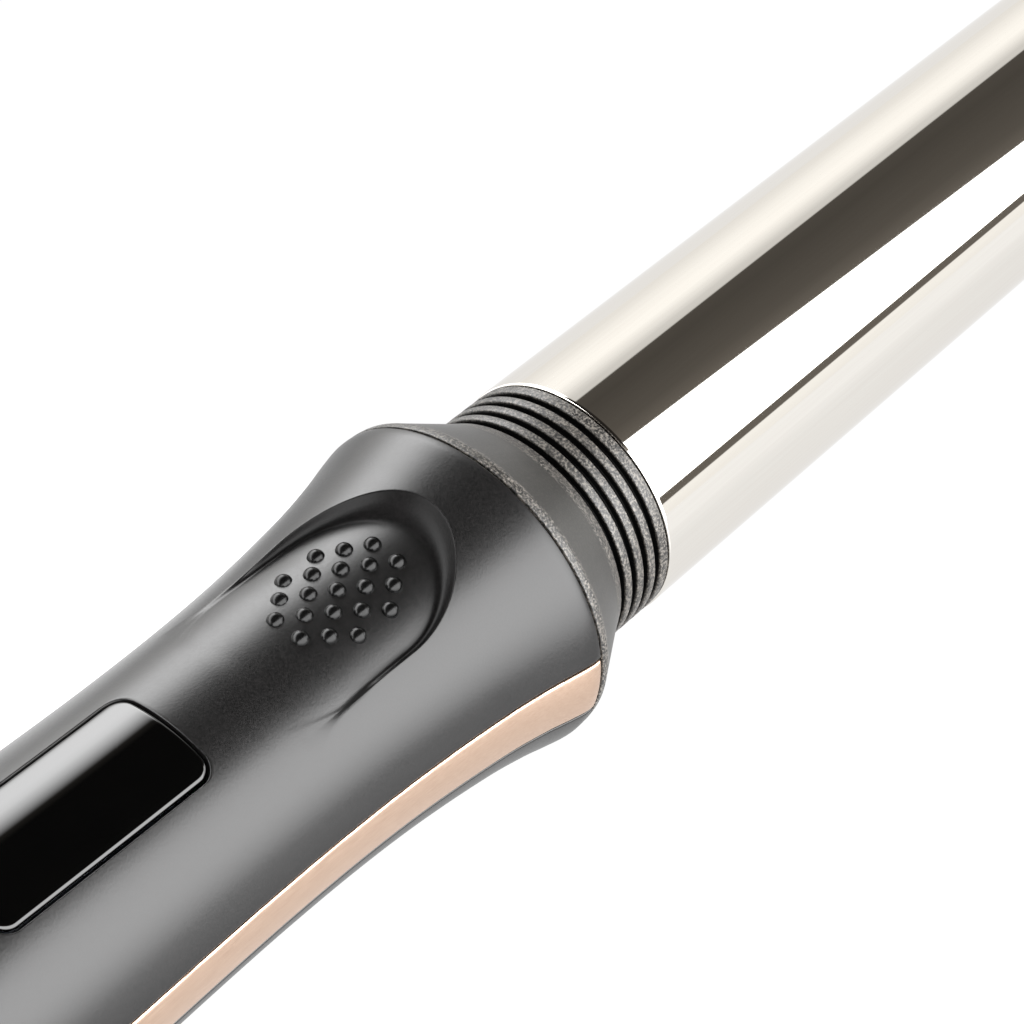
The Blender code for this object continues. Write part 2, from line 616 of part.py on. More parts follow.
def make_buttons(parts, cutters):
    cap = material("soft_touch_button", "2f2e2e", 0.55)
    body = material("switch_body", "1c1c1e", 0.5)
    for label, (station, radius) in BUTTONS.items():
        flange = radius + FLANGE_REACH
        turned(f"{label}_button", [
            (BUTTON_TOP, 0.0), (BUTTON_TOP - 0.15 * MM, radius * 0.65),
            (BUTTON_TOP - 0.4 * MM, radius - 0.4 * MM), (BUTTON_TOP - 0.8 * MM, radius),
            (FLANGE_TOP, radius), (FLANGE_TOP, flange), (FLANGE_TOP - FLANGE_THICKNESS, flange),
            (FLANGE_TOP - FLANGE_THICKNESS, STEM_RADIUS), (STEM_END, STEM_RADIUS), (STEM_END, 0.0)],
            cap, parts, SMALL_SIDES, above_axis(station), (0, 0, 0))
        switch = box(f"{label}_switch", (station - SWITCH_HALF, -SWITCH_HALF, BOARD_TOP + GAP),
                     (station + SWITCH_HALF, SWITCH_HALF, SWITCH_TOP), body, parts)
        plunger = rod(f"{label}_plunger", above_axis(station, 0, 9.0 * MM), PLUNGER_RADIUS, 1.6 * MM,
                      None, cutters, sides=BORE_SIDES)
        boolean(switch, plunger, "UNION")


def make_board(parts):
    laminate = material("fr4_laminate", "1f5a3a", 0.5)
    box("main_board", (BOARD_REAR, -BOARD_HALF_WIDTH, BOARD_BOTTOM),
        (BOARD_FRONT, BOARD_HALF_WIDTH, BOARD_TOP), laminate, parts)
    under = BOARD_BOTTOM - GAP
    film = material("film_capacitor", "c9a63b", 0.45)
    box("suppression_capacitor", (-83 * MM, -7 * MM, -7 * MM), (-69 * MM, 7 * MM, under), film, parts,
        0.6 * MM)
    epoxy = material("epoxy_package", "17171a", 0.55)
    box("triac", (-101 * MM, -5 * MM, -0.8 * MM), (-91 * MM, 5 * MM, under), epoxy, parts, 0.4 * MM)


def make_lead(parts, name, points, radius, mat):
    """Insulated lead: a tube along a smooth curve through its points."""
    curve = bpy.data.curves.new(name, "CURVE")
    curve.dimensions = "3D"
    curve.bevel_depth = radius
    curve.bevel_resolution = 2
    curve.use_fill_caps = True
    spline = curve.splines.new("POLY")
    route = smooth_route(points, 3)
    spline.points.add(len(route) - 1)
    for point, place in zip(spline.points, route):
        point.co = (*place, 1.0)
    curve.materials.append(mat)
    obj = bpy.data.objects.new(name, curve)
    obj.location = AXIS_POINT
    parts.objects.link(obj)


def smooth_route(points, steps):
    """Catmull-Rom curve through the points, with steps pieces to each span."""
    knots = [Vector(p) for p in (points[0], *points, points[-1])]
    route = []
    for a, b, c, d in zip(knots, knots[1:], knots[2:], knots[3:]):
        for k in range(steps):
            t = k / steps
            route.append(0.5 * (2 * b + (c - a) * t + (2 * a - 5 * b + 4 * c - d) * t ** 2
                                + (3 * b - a - 3 * c + d) * t ** 3))
    return route + [knots[-1]]


def make_leads(parts):
    red = material("silicone_lead_red", "8e2f2a", 0.6)
    blue = material("silicone_lead_blue", "2c3f6b", 0.6)
    white = material("fibreglass_sleeve", "d9d5c8", 0.8)
    low = 2.4 * MM
    for name, side, mat in (("live_lead", 1, red), ("neutral_lead", -1, blue)):
        make_lead(parts, name, [
            (11 * MM, side * 4 * MM, 0), (-2 * MM, side * 4 * MM, 0), (-22 * MM, side * 4.5 * MM, 0),
            (-40 * MM, side * 6 * MM, -1 * MM), (-56 * MM, side * 3.5 * MM, 0.5 * MM),
            (-66 * MM, side * 3.5 * MM, low)], 0.8 * MM, mat)
    make_lead(parts, "sensor_lead", [
        (74 * MM, 0, 7 * MM), (50 * MM, 0, 7 * MM), (20 * MM, 0, 7 * MM), (11 * MM, 0, 5 * MM),
        (4 * MM, 0, 0.8 * MM), (-4 * MM, 0, 0), (-22 * MM, 0, 0), (-44 * MM, 0, 0.5 * MM),
        (-66 * MM, 0, low)], 0.6 * MM, white)


# --- tail and cord swivel -----------------------------------------------------------------
def make_tail(parts, cutters):
    plastic = material("matte_black_abs", "2b2a2b", 0.5)
    turned("tail_cap", [
        (-144.0 * MM, 14.5 * MM), (-150.3 * MM, 14.5 * MM), (-150.3 * MM, 17.25 * MM),
        (-152.6 * MM, 17.1 * MM), (-155.0 * MM, 16.2 * MM), (-156.9 * MM, 14.4 * MM),
        (-157.8 * MM, 12.0 * MM), (-158.0 * MM, 9.6 * MM), (-158.0 * MM, 6.5 * MM),
        (-155.5 * MM, 6.5 * MM), (-155.5 * MM, 12.5 * MM), (-144.0 * MM, 12.5 * MM)], plastic, parts)
    rubber = material("moulded_pvc", "232323", 0.6)
    turned("swivel_gland", [
        (-151.5 * MM, NECK_RADIUS), (-153.1 * MM, NECK_RADIUS), (-153.1 * MM, FLANGE_RADIUS),
        (-155.1 * MM, FLANGE_RADIUS), (-155.1 * MM, NECK_RADIUS), (-158.4 * MM, NECK_RADIUS),
        (-158.4 * MM, 8.3 * MM), (-160.4 * MM, 8.5 * MM), (-165.5 * MM, 7.6 * MM),
        (-167.4 * MM, 6.7 * MM), (GLAND_END, 5.8 * MM), (GLAND_END, CORD_BORE),
        (-151.5 * MM, CORD_BORE)], rubber, parts, 28)
    brass = material("brass_slip_rings", "b8964f", 0.3, 1.0)
    turned("slip_ring_drum", [
        (-142.0 * MM, 5.2 * MM), (-144.6 * MM, 5.2 * MM), (-144.6 * MM, 4.4 * MM),
        (-146.2 * MM, 4.4 * MM), (-146.2 * MM, 5.2 * MM), (-151.2 * MM, 5.2 * MM),
        (-151.2 * MM, 2.0 * MM), (-142.0 * MM, 2.0 * MM)], brass, parts, 16)
    resin = material("contact_carrier", "d8d2c2", 0.6)
    block = box("contact_block", (-149.5 * MM, -9 * MM, -8 * MM), (-142.8 * MM, 9 * MM, 8 * MM), resin,
                parts)
    boolean(block, rod("block_bore_cutter", above_axis(-146 * MM), 5.6 * MM, 20 * MM, None, cutters,
                       ALONG_X))


# --- folding stand ------------------------------------------------------------------------
def make_stand(parts, cutters):
    plastic = material("matte_black_nylon", "262526", 0.55)
    steel = material("stainless_pin", "b5b5b3", 0.3, 1.0)
    pivot = Vector((FOOT_X + STAND_PIVOT_STATION, 0.0, STAND_PIVOT_HEIGHT))
    half = [(0.0, KNUCKLE_HALF_WIDTH), (-4.3 * MM, KNUCKLE_HALF_WIDTH),
            (-10.0 * MM, STAND_HALF_WIDTH), (-STAND_LENGTH + STAND_TOE, STAND_HALF_WIDTH)]
    toe_flat = STAND_HALF_WIDTH - STAND_TOE
    for k in range(1, TOE_STEPS):
        turn = math.radians(90 * k / TOE_STEPS)
        half.append((-STAND_LENGTH + STAND_TOE - STAND_TOE * math.sin(turn),
                     toe_flat + STAND_TOE * math.cos(turn)))
    half.append((-STAND_LENGTH, toe_flat))
    outline = half + [(x, -y) for x, y in reversed(half)]
    stand = prism("folding_stand", (outline, -STAND_PIVOT_HEIGHT),
                  (outline, STAND_THICKNESS - STAND_PIVOT_HEIGHT), plastic, parts, pivot)
    knuckle = rod("knuckle_tool", pivot, STAND_PIVOT_HEIGHT, 2 * KNUCKLE_HALF_WIDTH - 0.02 * MM, None,
                  cutters, ALONG_Y)
    boolean(stand, knuckle, "UNION")
    boolean(stand, rod("stand_bore_cutter", pivot, PIN_RADIUS + GAP, 20 * MM, None, cutters, ALONG_Y,
                       16))
    rod("stand_pin", pivot, PIN_RADIUS, 2 * LUG_OUTER - 0.6 * MM, steel, parts, ALONG_Y, 16)


def main():
    clear_scene()
    parts = new_collection("curling_wand")
    cutters = new_collection("cutters")
    soft_touch = material("soft_touch_abs", "343333", 0.5)
    make_barrel(parts)
    make_heater(parts, cutters)
    make_collar(parts)
    make_top_shell(parts, cutters, soft_touch)
    make_bottom_shell(parts, cutters, soft_touch)
    make_screws(parts)
    make_trim(parts)
    make_display(parts, cutters)
    make_buttons(parts, cutters)
    make_board(parts)
    make_leads(parts)
    make_tail(parts, cutters)
    make_stand(parts, cutters)


main()
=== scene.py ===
"""Curling wand: finished pieces, materials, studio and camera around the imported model.

Stations are distances along the barrel's axis from its foot, positive towards the tip.
Angles are clock angles round the axis, in degrees: 0 is the display side and 90 the right side.
"""

import math

import bpy
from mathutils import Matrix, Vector


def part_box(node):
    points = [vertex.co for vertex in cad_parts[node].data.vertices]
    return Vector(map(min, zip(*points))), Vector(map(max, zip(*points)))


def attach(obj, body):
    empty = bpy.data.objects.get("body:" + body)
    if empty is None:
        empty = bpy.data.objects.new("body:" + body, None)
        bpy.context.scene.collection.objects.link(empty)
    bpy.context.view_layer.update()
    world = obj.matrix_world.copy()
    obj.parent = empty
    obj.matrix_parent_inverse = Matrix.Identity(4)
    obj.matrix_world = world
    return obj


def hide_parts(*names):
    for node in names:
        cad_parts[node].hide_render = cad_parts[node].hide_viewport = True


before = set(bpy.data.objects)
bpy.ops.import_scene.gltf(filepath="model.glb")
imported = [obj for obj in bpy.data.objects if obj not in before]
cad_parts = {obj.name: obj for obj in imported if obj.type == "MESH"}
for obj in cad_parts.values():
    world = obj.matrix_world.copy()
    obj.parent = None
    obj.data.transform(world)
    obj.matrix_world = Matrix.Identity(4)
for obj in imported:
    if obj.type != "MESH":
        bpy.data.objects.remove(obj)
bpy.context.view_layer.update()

MM = 0.001
BARREL_LOW, BARREL_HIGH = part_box("barrel_tube")
AXIS_HEIGHT = (BARREL_LOW.z + BARREL_HIGH.z) / 2
BARREL_END = 150.0 * MM
FOOT_X = BARREL_HIGH.x - BARREL_END
AXIS_POINT = Vector((FOOT_X, 0.0, AXIS_HEIGHT))
GAP = 0.3 * MM               # clearance round everything that sits in an opening
MERGE = 0.002 * MM
QUARTER = math.radians(90)

# --- barrel and collar --------------------------------------------------------------------
BARREL_RADIUS = 16.0 * MM
BARREL_WALL = 1.5 * MM
BARREL_FOOT = 0.12 * MM      # how far the tube's rim stands off the collar
RIM_FILLET = 0.25 * MM
FOOT_FILLET = 0.22 * MM
RIM_LOOP = 0.5 * MM          # loop beside each rim that keeps the long tube's shading straight
SPIGOT_RADIUS = 13.4 * MM
SPIGOT_BORE = 12.0 * MM
SPIGOT_END = -14.0 * MM
SPIGOT_ROOT = 1.9 * MM
TIP_END = 174.0 * MM
TIP_PLUG_END = 138.0 * MM
TIP_WALL = 2.0 * MM
TIP_HOLLOW_END = 171.5 * MM
COLLAR_RADIUS = 15.85 * MM
GROOVE_FLOOR = 14.75 * MM
END_RIM = 1.45 * MM
RIB_PITCH = 2.13 * MM
GROOVE_WIDTH = 1.0 * MM
GROOVE_COUNT = 4
RIB_FILLET = 0.2 * MM
ROOT_FILLET = 0.1 * MM
CONE_FRONT = -11.15 * MM
CONE_REAR = -17.15 * MM
BAND_END = -18.75 * MM
BAND_RADIUS = 21.2 * MM
TENON_END = -23.5 * MM       # the collar's rear part, which the shells close on
TENON_RADIUS = 17.4 * MM
TENON_BORE = 15.7 * MM
SEAT_FACE = -15.2 * MM
COLLAR_BORE = 13.7 * MM

# --- handle -------------------------------------------------------------------------------
SHELL_FRONT = BAND_END - GAP
SHELL_REAR = -150.0 * MM
SHELL_EDGE = 78.0            # clock angle where the shells stop at the trim's channel
TOP_WALL = 1.6 * MM
BOTTOM_WALL = 2.2 * MM
SHELL_ROUNDING = 0.18 * MM
SHARP_EDGE = 70.0            # degrees between faces from which a shell's edge is rounded
STRIP_HALF = 11.0            # half of each trim strip's width, in clock degrees
STRIP_WALL = 1.0 * MM
STRIP_BEVEL = 0.28 * MM
STRIP_ROWS = (80, 70)        # beside the scoop, where the handle flares, and behind it
# (station, radius) of the outer skin from the tail to the flared shoulder
HANDLE_STATIONS = [
    (-150.0 * MM, 17.3 * MM),
    (-128.0 * MM, 17.85 * MM),
    (-100.0 * MM, 17.5 * MM),
    (-76.0 * MM, 16.93 * MM),
    (-64.0 * MM, 16.8 * MM),
    (-52.6 * MM, 17.0 * MM),
    (-42.5 * MM, 17.6 * MM),
    (-31.7 * MM, 18.82 * MM),
    (-26.0 * MM, 19.85 * MM),
    (-22.5 * MM, 20.7 * MM),
    (-20.2 * MM, 21.2 * MM),
    (-19.05 * MM, 21.2 * MM),
]

# --- thumb scoop and its dots -------------------------------------------------------------
SCOOP_CENTRE = -39.7 * MM
SCOOP_FLOOR = 16.8 * MM
SCOOP_REAR_FLOOR = 17.1 * MM
SCOOP_REAR = -55.0 * MM
SCOOP_SIDE_HEIGHT = 14.5 * MM
SCOOP_SIDE_RADIUS = 10.5 * MM
SCOOP_DRAFT = math.radians(30.0)
SCOOP_REGION_REAR = -60.0 * MM
FRONT_FILLET = 2.2 * MM
SIDE_FILLET = 1.3 * MM
CREASE_BLEND = 0.16 * MM     # width of the scoop's crisp edge, and how it softens to its rear
CREASE_SOFTNESS = 0.8 * MM
CREASE_FADE_START = -43.0 * MM
CREASE_FADE_FULL = -52.0 * MM
CREASE_FADE_END = -59.0 * MM
CREASE_FADE_LENGTH = 4.0 * MM
CREASE_BAND = 0.14 * MM      # close columns this far to both sides of the edge
BEYOND_CREASE = 0.9 * MM
SCOOP_FADE = -50.0 * MM      # from here to the region's rear the columns even out
# mesh attribute that marks the scoop's steep wall for painted shade: 1 on the wall, 0 elsewhere
WALL_SHADE_MARK = "scoop_wall_painted_shade"     # mesh attribute: 1 on the scoop's steep wall
WALL_FOOT, WALL_FULL, WALL_CREASE, WALL_END = 12, 17, 30, 31    # columns of the scoop's sheet
# stations over which the scoop wall's painted shade fades out towards its rear
WALL_FADE_START = -42.0 * MM
WALL_FADE_END = -50.0 * MM
REACH_LIMITS = (6.0 * MM, 17.0 * MM)    # where the wall's foot and edge are looked for
HALVINGS = 40
SHORTEST_WALL = 0.35 * MM
FILLET_LEAD = 0.75           # how far the floor's fillet starts before the wall, in its own size
FILLET_SHARE = 0.45          # how far it runs up the wall
SCOOP_COLUMNS = (13, 9, 5, 6, 3)    # on the floor, its fillet, the wall, the edge and beyond it
OUTER_COLUMNS = 22
HALF_COLUMNS = sum(SCOOP_COLUMNS) + OUTER_COLUMNS
ARM_ROWS = 40
FAN_ROWS = 120
FAN_CORNER = 21              # fan row that runs to the sheet's front corner
HOLE_RINGS = 9
RING_GROWTH = 1.25           # the rings round a hole widen outwards
DOT_RADIUS = 1.05 * MM
DOT_SINK = 0.25 * MM
DOT_FIELD_CENTRE = -40.75 * MM
DOT_ROW_PITCH = 2.55 * MM
DOT_PITCH = 3.6 * MM
DOT_ROWS = (2, 3, 4, 3, 4, 3, 2)

# --- display and buttons ------------------------------------------------------------------
WINDOW_FRONT = -66.4 * MM
WINDOW_REAR = -95.4 * MM
WINDOW_HALF_WIDTH = 7.0 * MM
WINDOW_CORNER = 2.0 * MM
PANE_BEVEL = 0.5 * MM
PANE_DROP = 0.35 * MM
PANE_WALL = 1.1 * MM
BUTTON_TOP = 17.9 * MM
# name: (station, radius), and the stations where the bands of skin round the keys meet
BUTTONS = {"minus": (-103.0 * MM, 3.6 * MM), "plus": (-113.5 * MM, 3.6 * MM),
           "power": (-126.0 * MM, 4.6 * MM)}
BAND_EDGES = (-97.4 * MM, -108.2 * MM, -119.2 * MM, -133.0 * MM)
HOLE_COLUMNS = 25
WINDOW_ROWS = 80
KEY_ROWS = 28
TAIL_ROWS = 16
KEY_FLANGE = 1.2 * MM
KEY_FLANGE_TOP = 13.9 * MM
KEY_FLANGE_BASE = 13.1 * MM
KEY_STEM_RADIUS = 1.6 * MM
KEY_STEM_END = 10.6 * MM
MARK_HEIGHT = 0.12 * MM
MARK_WIDTH = 0.42 * MM
MARK_LENGTH = 2.6 * MM
MARK_SINK = 0.02 * MM
RING_RADIUS = 1.55 * MM
RING_OPENING = math.radians(38)    # half of the gap in the power mark's ring

# --- underside ----------------------------------------------------------------------------
SCREW_STATIONS = {"front": -54.5 * MM, "rear": -138.5 * MM}
SCREW_BANDS = {"front": (-49.5 * MM, -59.5 * MM), "rear": (-133.5 * MM, -143.5 * MM)}
SCREW_COLUMNS = (5, 36)      # columns of the skin that a screw hole's surroundings take up
FRONT_ROWS, SCREW_ROWS, GRIP_ROWS, REAR_ROWS = 70, 24, 80, 8
SCREW_OFFSET = 8.0 * MM
SCREW_HEAD_DEPTH = 11.3 * MM
SCREW_TOP = 7.0 * MM
SHANK_RADIUS = 1.3 * MM
HEAD_RADIUS = 2.4 * MM
HEAD_HEIGHT = 2.2 * MM
SLOT_SIZE = (2.6 * MM, 0.55 * MM, 2.0 * MM)
SLEEVE_BORE = 1.6 * MM
SLEEVE_SEAT = -8.8 * MM
SLEEVE_MOUTH = -13.6 * MM
SLEEVE_WALL = 1.0 * MM
STAND_PIVOT = Vector((FOOT_X - 29.0 * MM, 0.0, 1.9 * MM))
LUG_INNER = 4.3 * MM
LUG_OUTER = 7.0 * MM
LUG_HALF_LENGTH = 3.5 * MM
LUG_TOP = 5.1 * MM
NOTCH_RADIUS = 2.5 * MM
PIN_BORE = 1.2 * MM
PIN_RADIUS = 0.9 * MM

# --- tail ---------------------------------------------------------------------------------
CAP_FRONT = -144.0 * MM
CAP_SHOULDER = -150.3 * MM
CAP_REAR = -158.0 * MM
CAP_WEB = -155.5 * MM
GLAND_FRONT = -151.5 * MM
GLAND_REAR = -168.0 * MM
GLAND_BORE = 3.3 * MM
GLAND_NECK = 6.1 * MM
GLAND_FLANGE = 9.5 * MM
GLAND_RING_PITCH = 1.5 * MM
GLAND_TAPER = 0.28 * MM      # how much thinner each ring is than the one before

# --- studio -------------------------------------------------------------------------------
TENT_RADIUS = 0.30
TENT_FRONT = 1.2
TENT_REAR = -0.9
TENT_HALF_SWEEP = 97         # clock degrees that the tent covers to each side
TENT_COLUMNS = 97
RAMP_HALF_SWEEP = 100        # clock degrees that its colour ramp covers to each side
# clock angle round the wand, then the tent's brightness there beside the handle and the barrel
TENT_TONES = [
    (-96, 2.0, 1.00),
    (-88, 2.0, 1.03),
    (-82, 2.0, 1.08),
    (-76, 5.5, 1.14),
    (-70, 9.0, 1.20),
    (-60, 10.8, 1.26),
    (-54, 10.8, 1.25),
    (-48, 8.0, 1.10),
    (-43, 4.5, 0.95),
    (-38, 0.2, 0.78),
    (-33, 0.02, 0.75),
    (-32, 0.02, 0.085),
    (-20, 0.02, 0.075),
    (12, 0.02, 0.105),
    (26, 0.03, 0.155),
    (27, 0.04, 6.0),
    (34.5, 0.3, 6.0),
    (38.5, 10.5, 6.0),
    (74, 10.5, 6.0),
    (76.5, 9.5, 6.0),
    (77.2, 9.0, 0.16),
    (83.6, 7.5, 0.16),
    (84.4, 7.0, 1.16),
    (96, 6.0, 1.08),
]
TENT_PEAK = 12.0
TENT_SPLIT = 0.195           # x where the handle's part of the tent ends
SPLIT_BLEND = 0.006
WARM_GREY = (1.0, 0.90, 0.78)
PALE_WHITE = (1.0, 0.985, 0.955)
WHITE = (1.0, 1.0, 1.0)
DARK_BELOW = 0.5             # levels below this are warm grey, and above BRIGHT_ABOVE white
BRIGHT_ABOVE = 2
# the dark strip's right edge runs at a slant to the wand beside the barrel
SLANT_START = 0.200
SLANT_END = 0.380
SLANT_ZERO = 0.257
SLANT_TURN = 1.75            # radians for each metre of length
SLANT_RISE = (-32, 26)       # clock angles over which the slant grows, and dies away again
SLANT_FALL = (45, 76)
# the floor glows instead of being lit: FLOOR_LEVEL evenly, plus painted pools of light beside the handle
# and to the right
FLOOR_LEVEL = 1.01
FLOOR_GLOW_LEFT = 0.9        # extra light of the floor on each side of the handle
FLOOR_GLOW_RIGHT = 1.0
FLOOR_GLOW_FAR = 0.1
ROOM_LEVEL = 0.6             # the surrounding light, except where the camera sees it
LENS = 101.953               # mm on a 36 mm wide sensor
CAMERA_PLACE = (-0.201592, -0.133870, 0.271866)
CAMERA_TURN = (43.2645, -4.6885, -49.6213)


# --- small helpers ------------------------------------------------------------------------
def to_linear(hex_code):
    """Linear colour from an sRGB hex code."""
    values = [int(hex_code[i:i + 2], 16) / 255 for i in (0, 2, 4)]
    linear = [v / 12.92 if v <= 0.04045 else ((v + 0.055) / 1.055) ** 2.4 for v in values]
    return (*linear, 1.0)


def add_node(tree, kind, links=None, values=None, **settings):
    """Adds one node with its settings, constant socket values and incoming links."""
    node = tree.nodes.new(kind)
    for key, value in settings.items():
        setattr(node, key, value)
    for socket, value in (values or {}).items():
        node.inputs[socket].default_value = value
    for socket, source in (links or {}).items():
        tree.links.new(source, node.inputs[socket])
    return node


def on_wand(station, angle, radius):
    """The point at a station, clock angle and distance from the axis."""
    turn = math.radians(angle)
    return Vector((FOOT_X + station, -radius * math.sin(turn), AXIS_HEIGHT + radius * math.cos(turn)))


def handle_radius(station):
    """Outer radius of the handle: a smooth curve through HANDLE_STATIONS."""
    points = HANDLE_STATIONS
    last = len(points) - 1
    i = max(0, min(last - 1, sum(1 for p in points if p[0] <= station) - 1))

    def slope(k):
        low, high = max(k - 1, 0), min(k + 1, last)
        return (points[high][1] - points[low][1]) / (points[high][0] - points[low][0])

    span = points[i + 1][0] - points[i][0]
    t = (station - points[i][0]) / span
    return ((2 * t ** 3 - 3 * t ** 2 + 1) * points[i][1]
            + (t ** 3 - 2 * t ** 2 + t) * span * slope(i)
            + (3 * t ** 2 - 2 * t ** 3) * points[i + 1][1]
            + (t ** 3 - t ** 2) * span * slope(i + 1))


def spread(start, end, count):
    """Evenly spaced values from start to end, both included."""
    return [start + (end - start) * k / count for k in range(count + 1)]


SKIN_ANGLES = spread(-SHELL_EDGE, SHELL_EDGE, 2 * HALF_COLUMNS)


def eased(share):
    """Smooth step of a share that is held between 0 and 1."""
    share = max(min(share, 1.0), 0.0)
    return share * share * (3 - 2 * share)


def start_piece(name, adder, **settings):
    """Deselects everything, adds a primitive and names it."""
    bpy.ops.object.select_all(action="DESELECT")
    adder(**settings)
    piece = bpy.context.object
    piece.name = name
    piece.data.name = name
    return piece


def activate(piece):
    bpy.ops.object.select_all(action="DESELECT")
    piece.select_set(True)
    bpy.context.view_layer.objects.active = piece


def edit_all(piece):
    """Opens the piece in edit mode with everything selected."""
    activate(piece)
    bpy.ops.object.mode_set(mode="EDIT")
    bpy.ops.mesh.select_all(action="SELECT")


def settle(piece):
    """Puts the piece's place into its mesh, so its object sits at the origin."""
    activate(piece)
    bpy.ops.object.transform_apply(location=True, rotation=True, scale=True)


def smooth(piece, angle=38.0):
    activate(piece)
    bpy.ops.object.shade_smooth_by_angle(angle=math.radians(angle))


def modify(piece, name, kind, **settings):
    """Adds one modifier and applies it at once."""
    activate(piece)
    modifier = piece.modifiers.new(name, kind)
    for key, value in settings.items():
        setattr(modifier, key, value)
    bpy.ops.object.modifier_apply(modifier=name)


def cut_away(piece, tool, name):
    """Cuts one shape out of the piece and throws the shape away."""
    modify(piece, name, "BOOLEAN", object=tool, operation="DIFFERENCE", solver="EXACT")
    bpy.data.objects.remove(tool)


def cross_rod(name, vertices, radius, length):
    """A cylinder across the wand, on the stand's hinge line."""
    return start_piece(name, bpy.ops.mesh.primitive_cylinder_add, vertices=vertices, radius=radius,
                       depth=length, location=STAND_PIVOT, rotation=(QUARTER, 0, 0))


def block(name, centre, size, **settings):
    """A box of a given size, with its place in its mesh."""
    piece = start_piece(name, bpy.ops.mesh.primitive_cube_add, size=1.0, location=centre,
                        scale=size, **settings)
    settle(piece)
    return piece


def round_edges(piece, width, segments=3, angle=50.0):
    modify(piece, "Rounded edges", "BEVEL", width=width, segments=segments, limit_method="ANGLE",
           angle_limit=math.radians(angle), use_clamp_overlap=False, miter_outer="MITER_ARC")


def join(pieces, name):
    bpy.ops.object.select_all(action="DESELECT")
    for piece in pieces:
        piece.select_set(True)
    bpy.context.view_layer.objects.active = pieces[0]
    bpy.ops.object.join()
    pieces[0].name = name
    pieces[0].data.name = name
    return pieces[0]


def close_seams(piece):
    """Merges doubled points and turns every face outwards."""
    edit_all(piece)
    bpy.ops.mesh.remove_doubles(threshold=MERGE)
    bpy.ops.mesh.normals_make_consistent(inside=False)
    bpy.ops.object.mode_set(mode="OBJECT")


def finish(piece, body, material, *replaced):
    """Gives the piece its material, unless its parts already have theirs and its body."""
    if material:
        piece.data.materials.clear()
        piece.data.materials.append(material)
    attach(piece, body)
    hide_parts(*replaced)


# --- lathe work ---------------------------------------------------------------------------
def filleted(corners, steps=5):
    """Outline through (station, radius, fillet) corners, each rounded to its own radius."""
    line = []
    count = len(corners)
    for i, (s, r, fillet) in enumerate(corners):
        here = Vector((s, r))
        before = Vector(corners[i - 1][:2]) - here
        after = Vector(corners[(i + 1) % count][:2]) - here
        if fillet <= 0:
            line.append((s, r))
            continue
        opening = before.angle(after)
        cut = fillet / math.tan(opening / 2)
        first = here + before.normalized() * cut
        last = here + after.normalized() * cut
        middle = here + (before.normalized() + after.normalized()).normalized() * (
            fillet / math.sin(opening / 2))
        a, b = first - middle, last - middle
        sweep = a.angle_signed(b)
        for k in range(steps + 1):
            turn = -sweep * k / steps
            across = a.x * math.cos(turn) - a.y * math.sin(turn)
            up = a.x * math.sin(turn) + a.y * math.cos(turn)
            line.append((middle.x + across, middle.y + up))
    return line


def turned(name, outline, steps=192, centre=AXIS_POINT, upright=False):
    """Turns a closed outline of (height, radius) points about the axis, as on a lathe."""
    def place(point):
        if upright:
            return centre + Vector((point[1], 0.0, point[0]))
        return centre + Vector((point[0], 0.0, point[1]))

    piece = start_piece(name, bpy.ops.mesh.primitive_plane_add, size=MM, location=place(outline[0]))
    bpy.ops.object.transform_apply(location=True, rotation=True, scale=True)
    bpy.ops.object.mode_set(mode="EDIT")
    bpy.ops.mesh.select_all(action="SELECT")
    bpy.ops.mesh.merge(type="CENTER")
    for near, far in zip(outline, outline[1:]):
        step = place(far) - place(near)
        bpy.ops.mesh.extrude_vertices_move(TRANSFORM_OT_translate={"value": step})
    bpy.ops.object.mode_set(mode="OBJECT")
    piece.data.vertices[0].select = True
    open_ends = outline[0][1] > MERGE or outline[-1][1] > MERGE
    bpy.ops.object.mode_set(mode="EDIT")
    if open_ends:
        bpy.ops.mesh.edge_face_add()
    bpy.ops.mesh.select_all(action="SELECT")
    bpy.ops.mesh.spin(steps=steps, angle=2 * math.pi, center=centre,
                      axis=(0, 0, 1) if upright else (1, 0, 0))
    bpy.ops.object.mode_set(mode="OBJECT")
    close_seams(piece)
    return piece


# --- sheets laid on the handle ------------------------------------------------------------
def laid_sheet(name, rows):
    """A grid primitive whose points are laid at the given places, row by row."""
    across, along = len(rows[0]) - 1, len(rows) - 1
    sheet = start_piece(name, bpy.ops.mesh.primitive_grid_add, x_subdivisions=across,
                        y_subdivisions=along, size=MM)
    places = [place for row in rows for place in row]
    if len(places) != len(sheet.data.vertices):
        raise ValueError(f"{name}: {len(places)} places, {len(sheet.data.vertices)} points")
    for vertex, place in zip(sheet.data.vertices, places):
        vertex.co = place
    return sheet


def soft_max(a, b, blend):
    return max(a, b) + max(blend - abs(a - b), 0.0) ** 2 / (4 * blend)


def soft_min(a, b, blend):
    return -soft_max(-a, -b, blend)


def round_height(radius, sideways):
    return math.sqrt(max(radius ** 2 - sideways ** 2, 0.0))


def wall_height(reach):
    """Height of the scoop's drafted wall at a distance from the scoop's middle line."""
    return SCOOP_SIDE_HEIGHT + (reach - SCOOP_SIDE_RADIUS) / math.tan(SCOOP_DRAFT)


def scoop_floor(station):
    slope = (SCOOP_REAR_FLOOR - SCOOP_FLOOR) / (SCOOP_CENTRE - SCOOP_REAR)
    return SCOOP_FLOOR + max(SCOOP_CENTRE - station, 0.0) * slope


def scooped_height(station, sideways, reach, fillet):
    """Height of the upper shell over a plan point: skin, scoop wall and floor blended."""
    skin = round_height(handle_radius(station), sideways)
    floor = round_height(scoop_floor(station), sideways)
    return soft_min(skin, soft_max(floor, wall_height(reach), fillet), crease_blend(station))


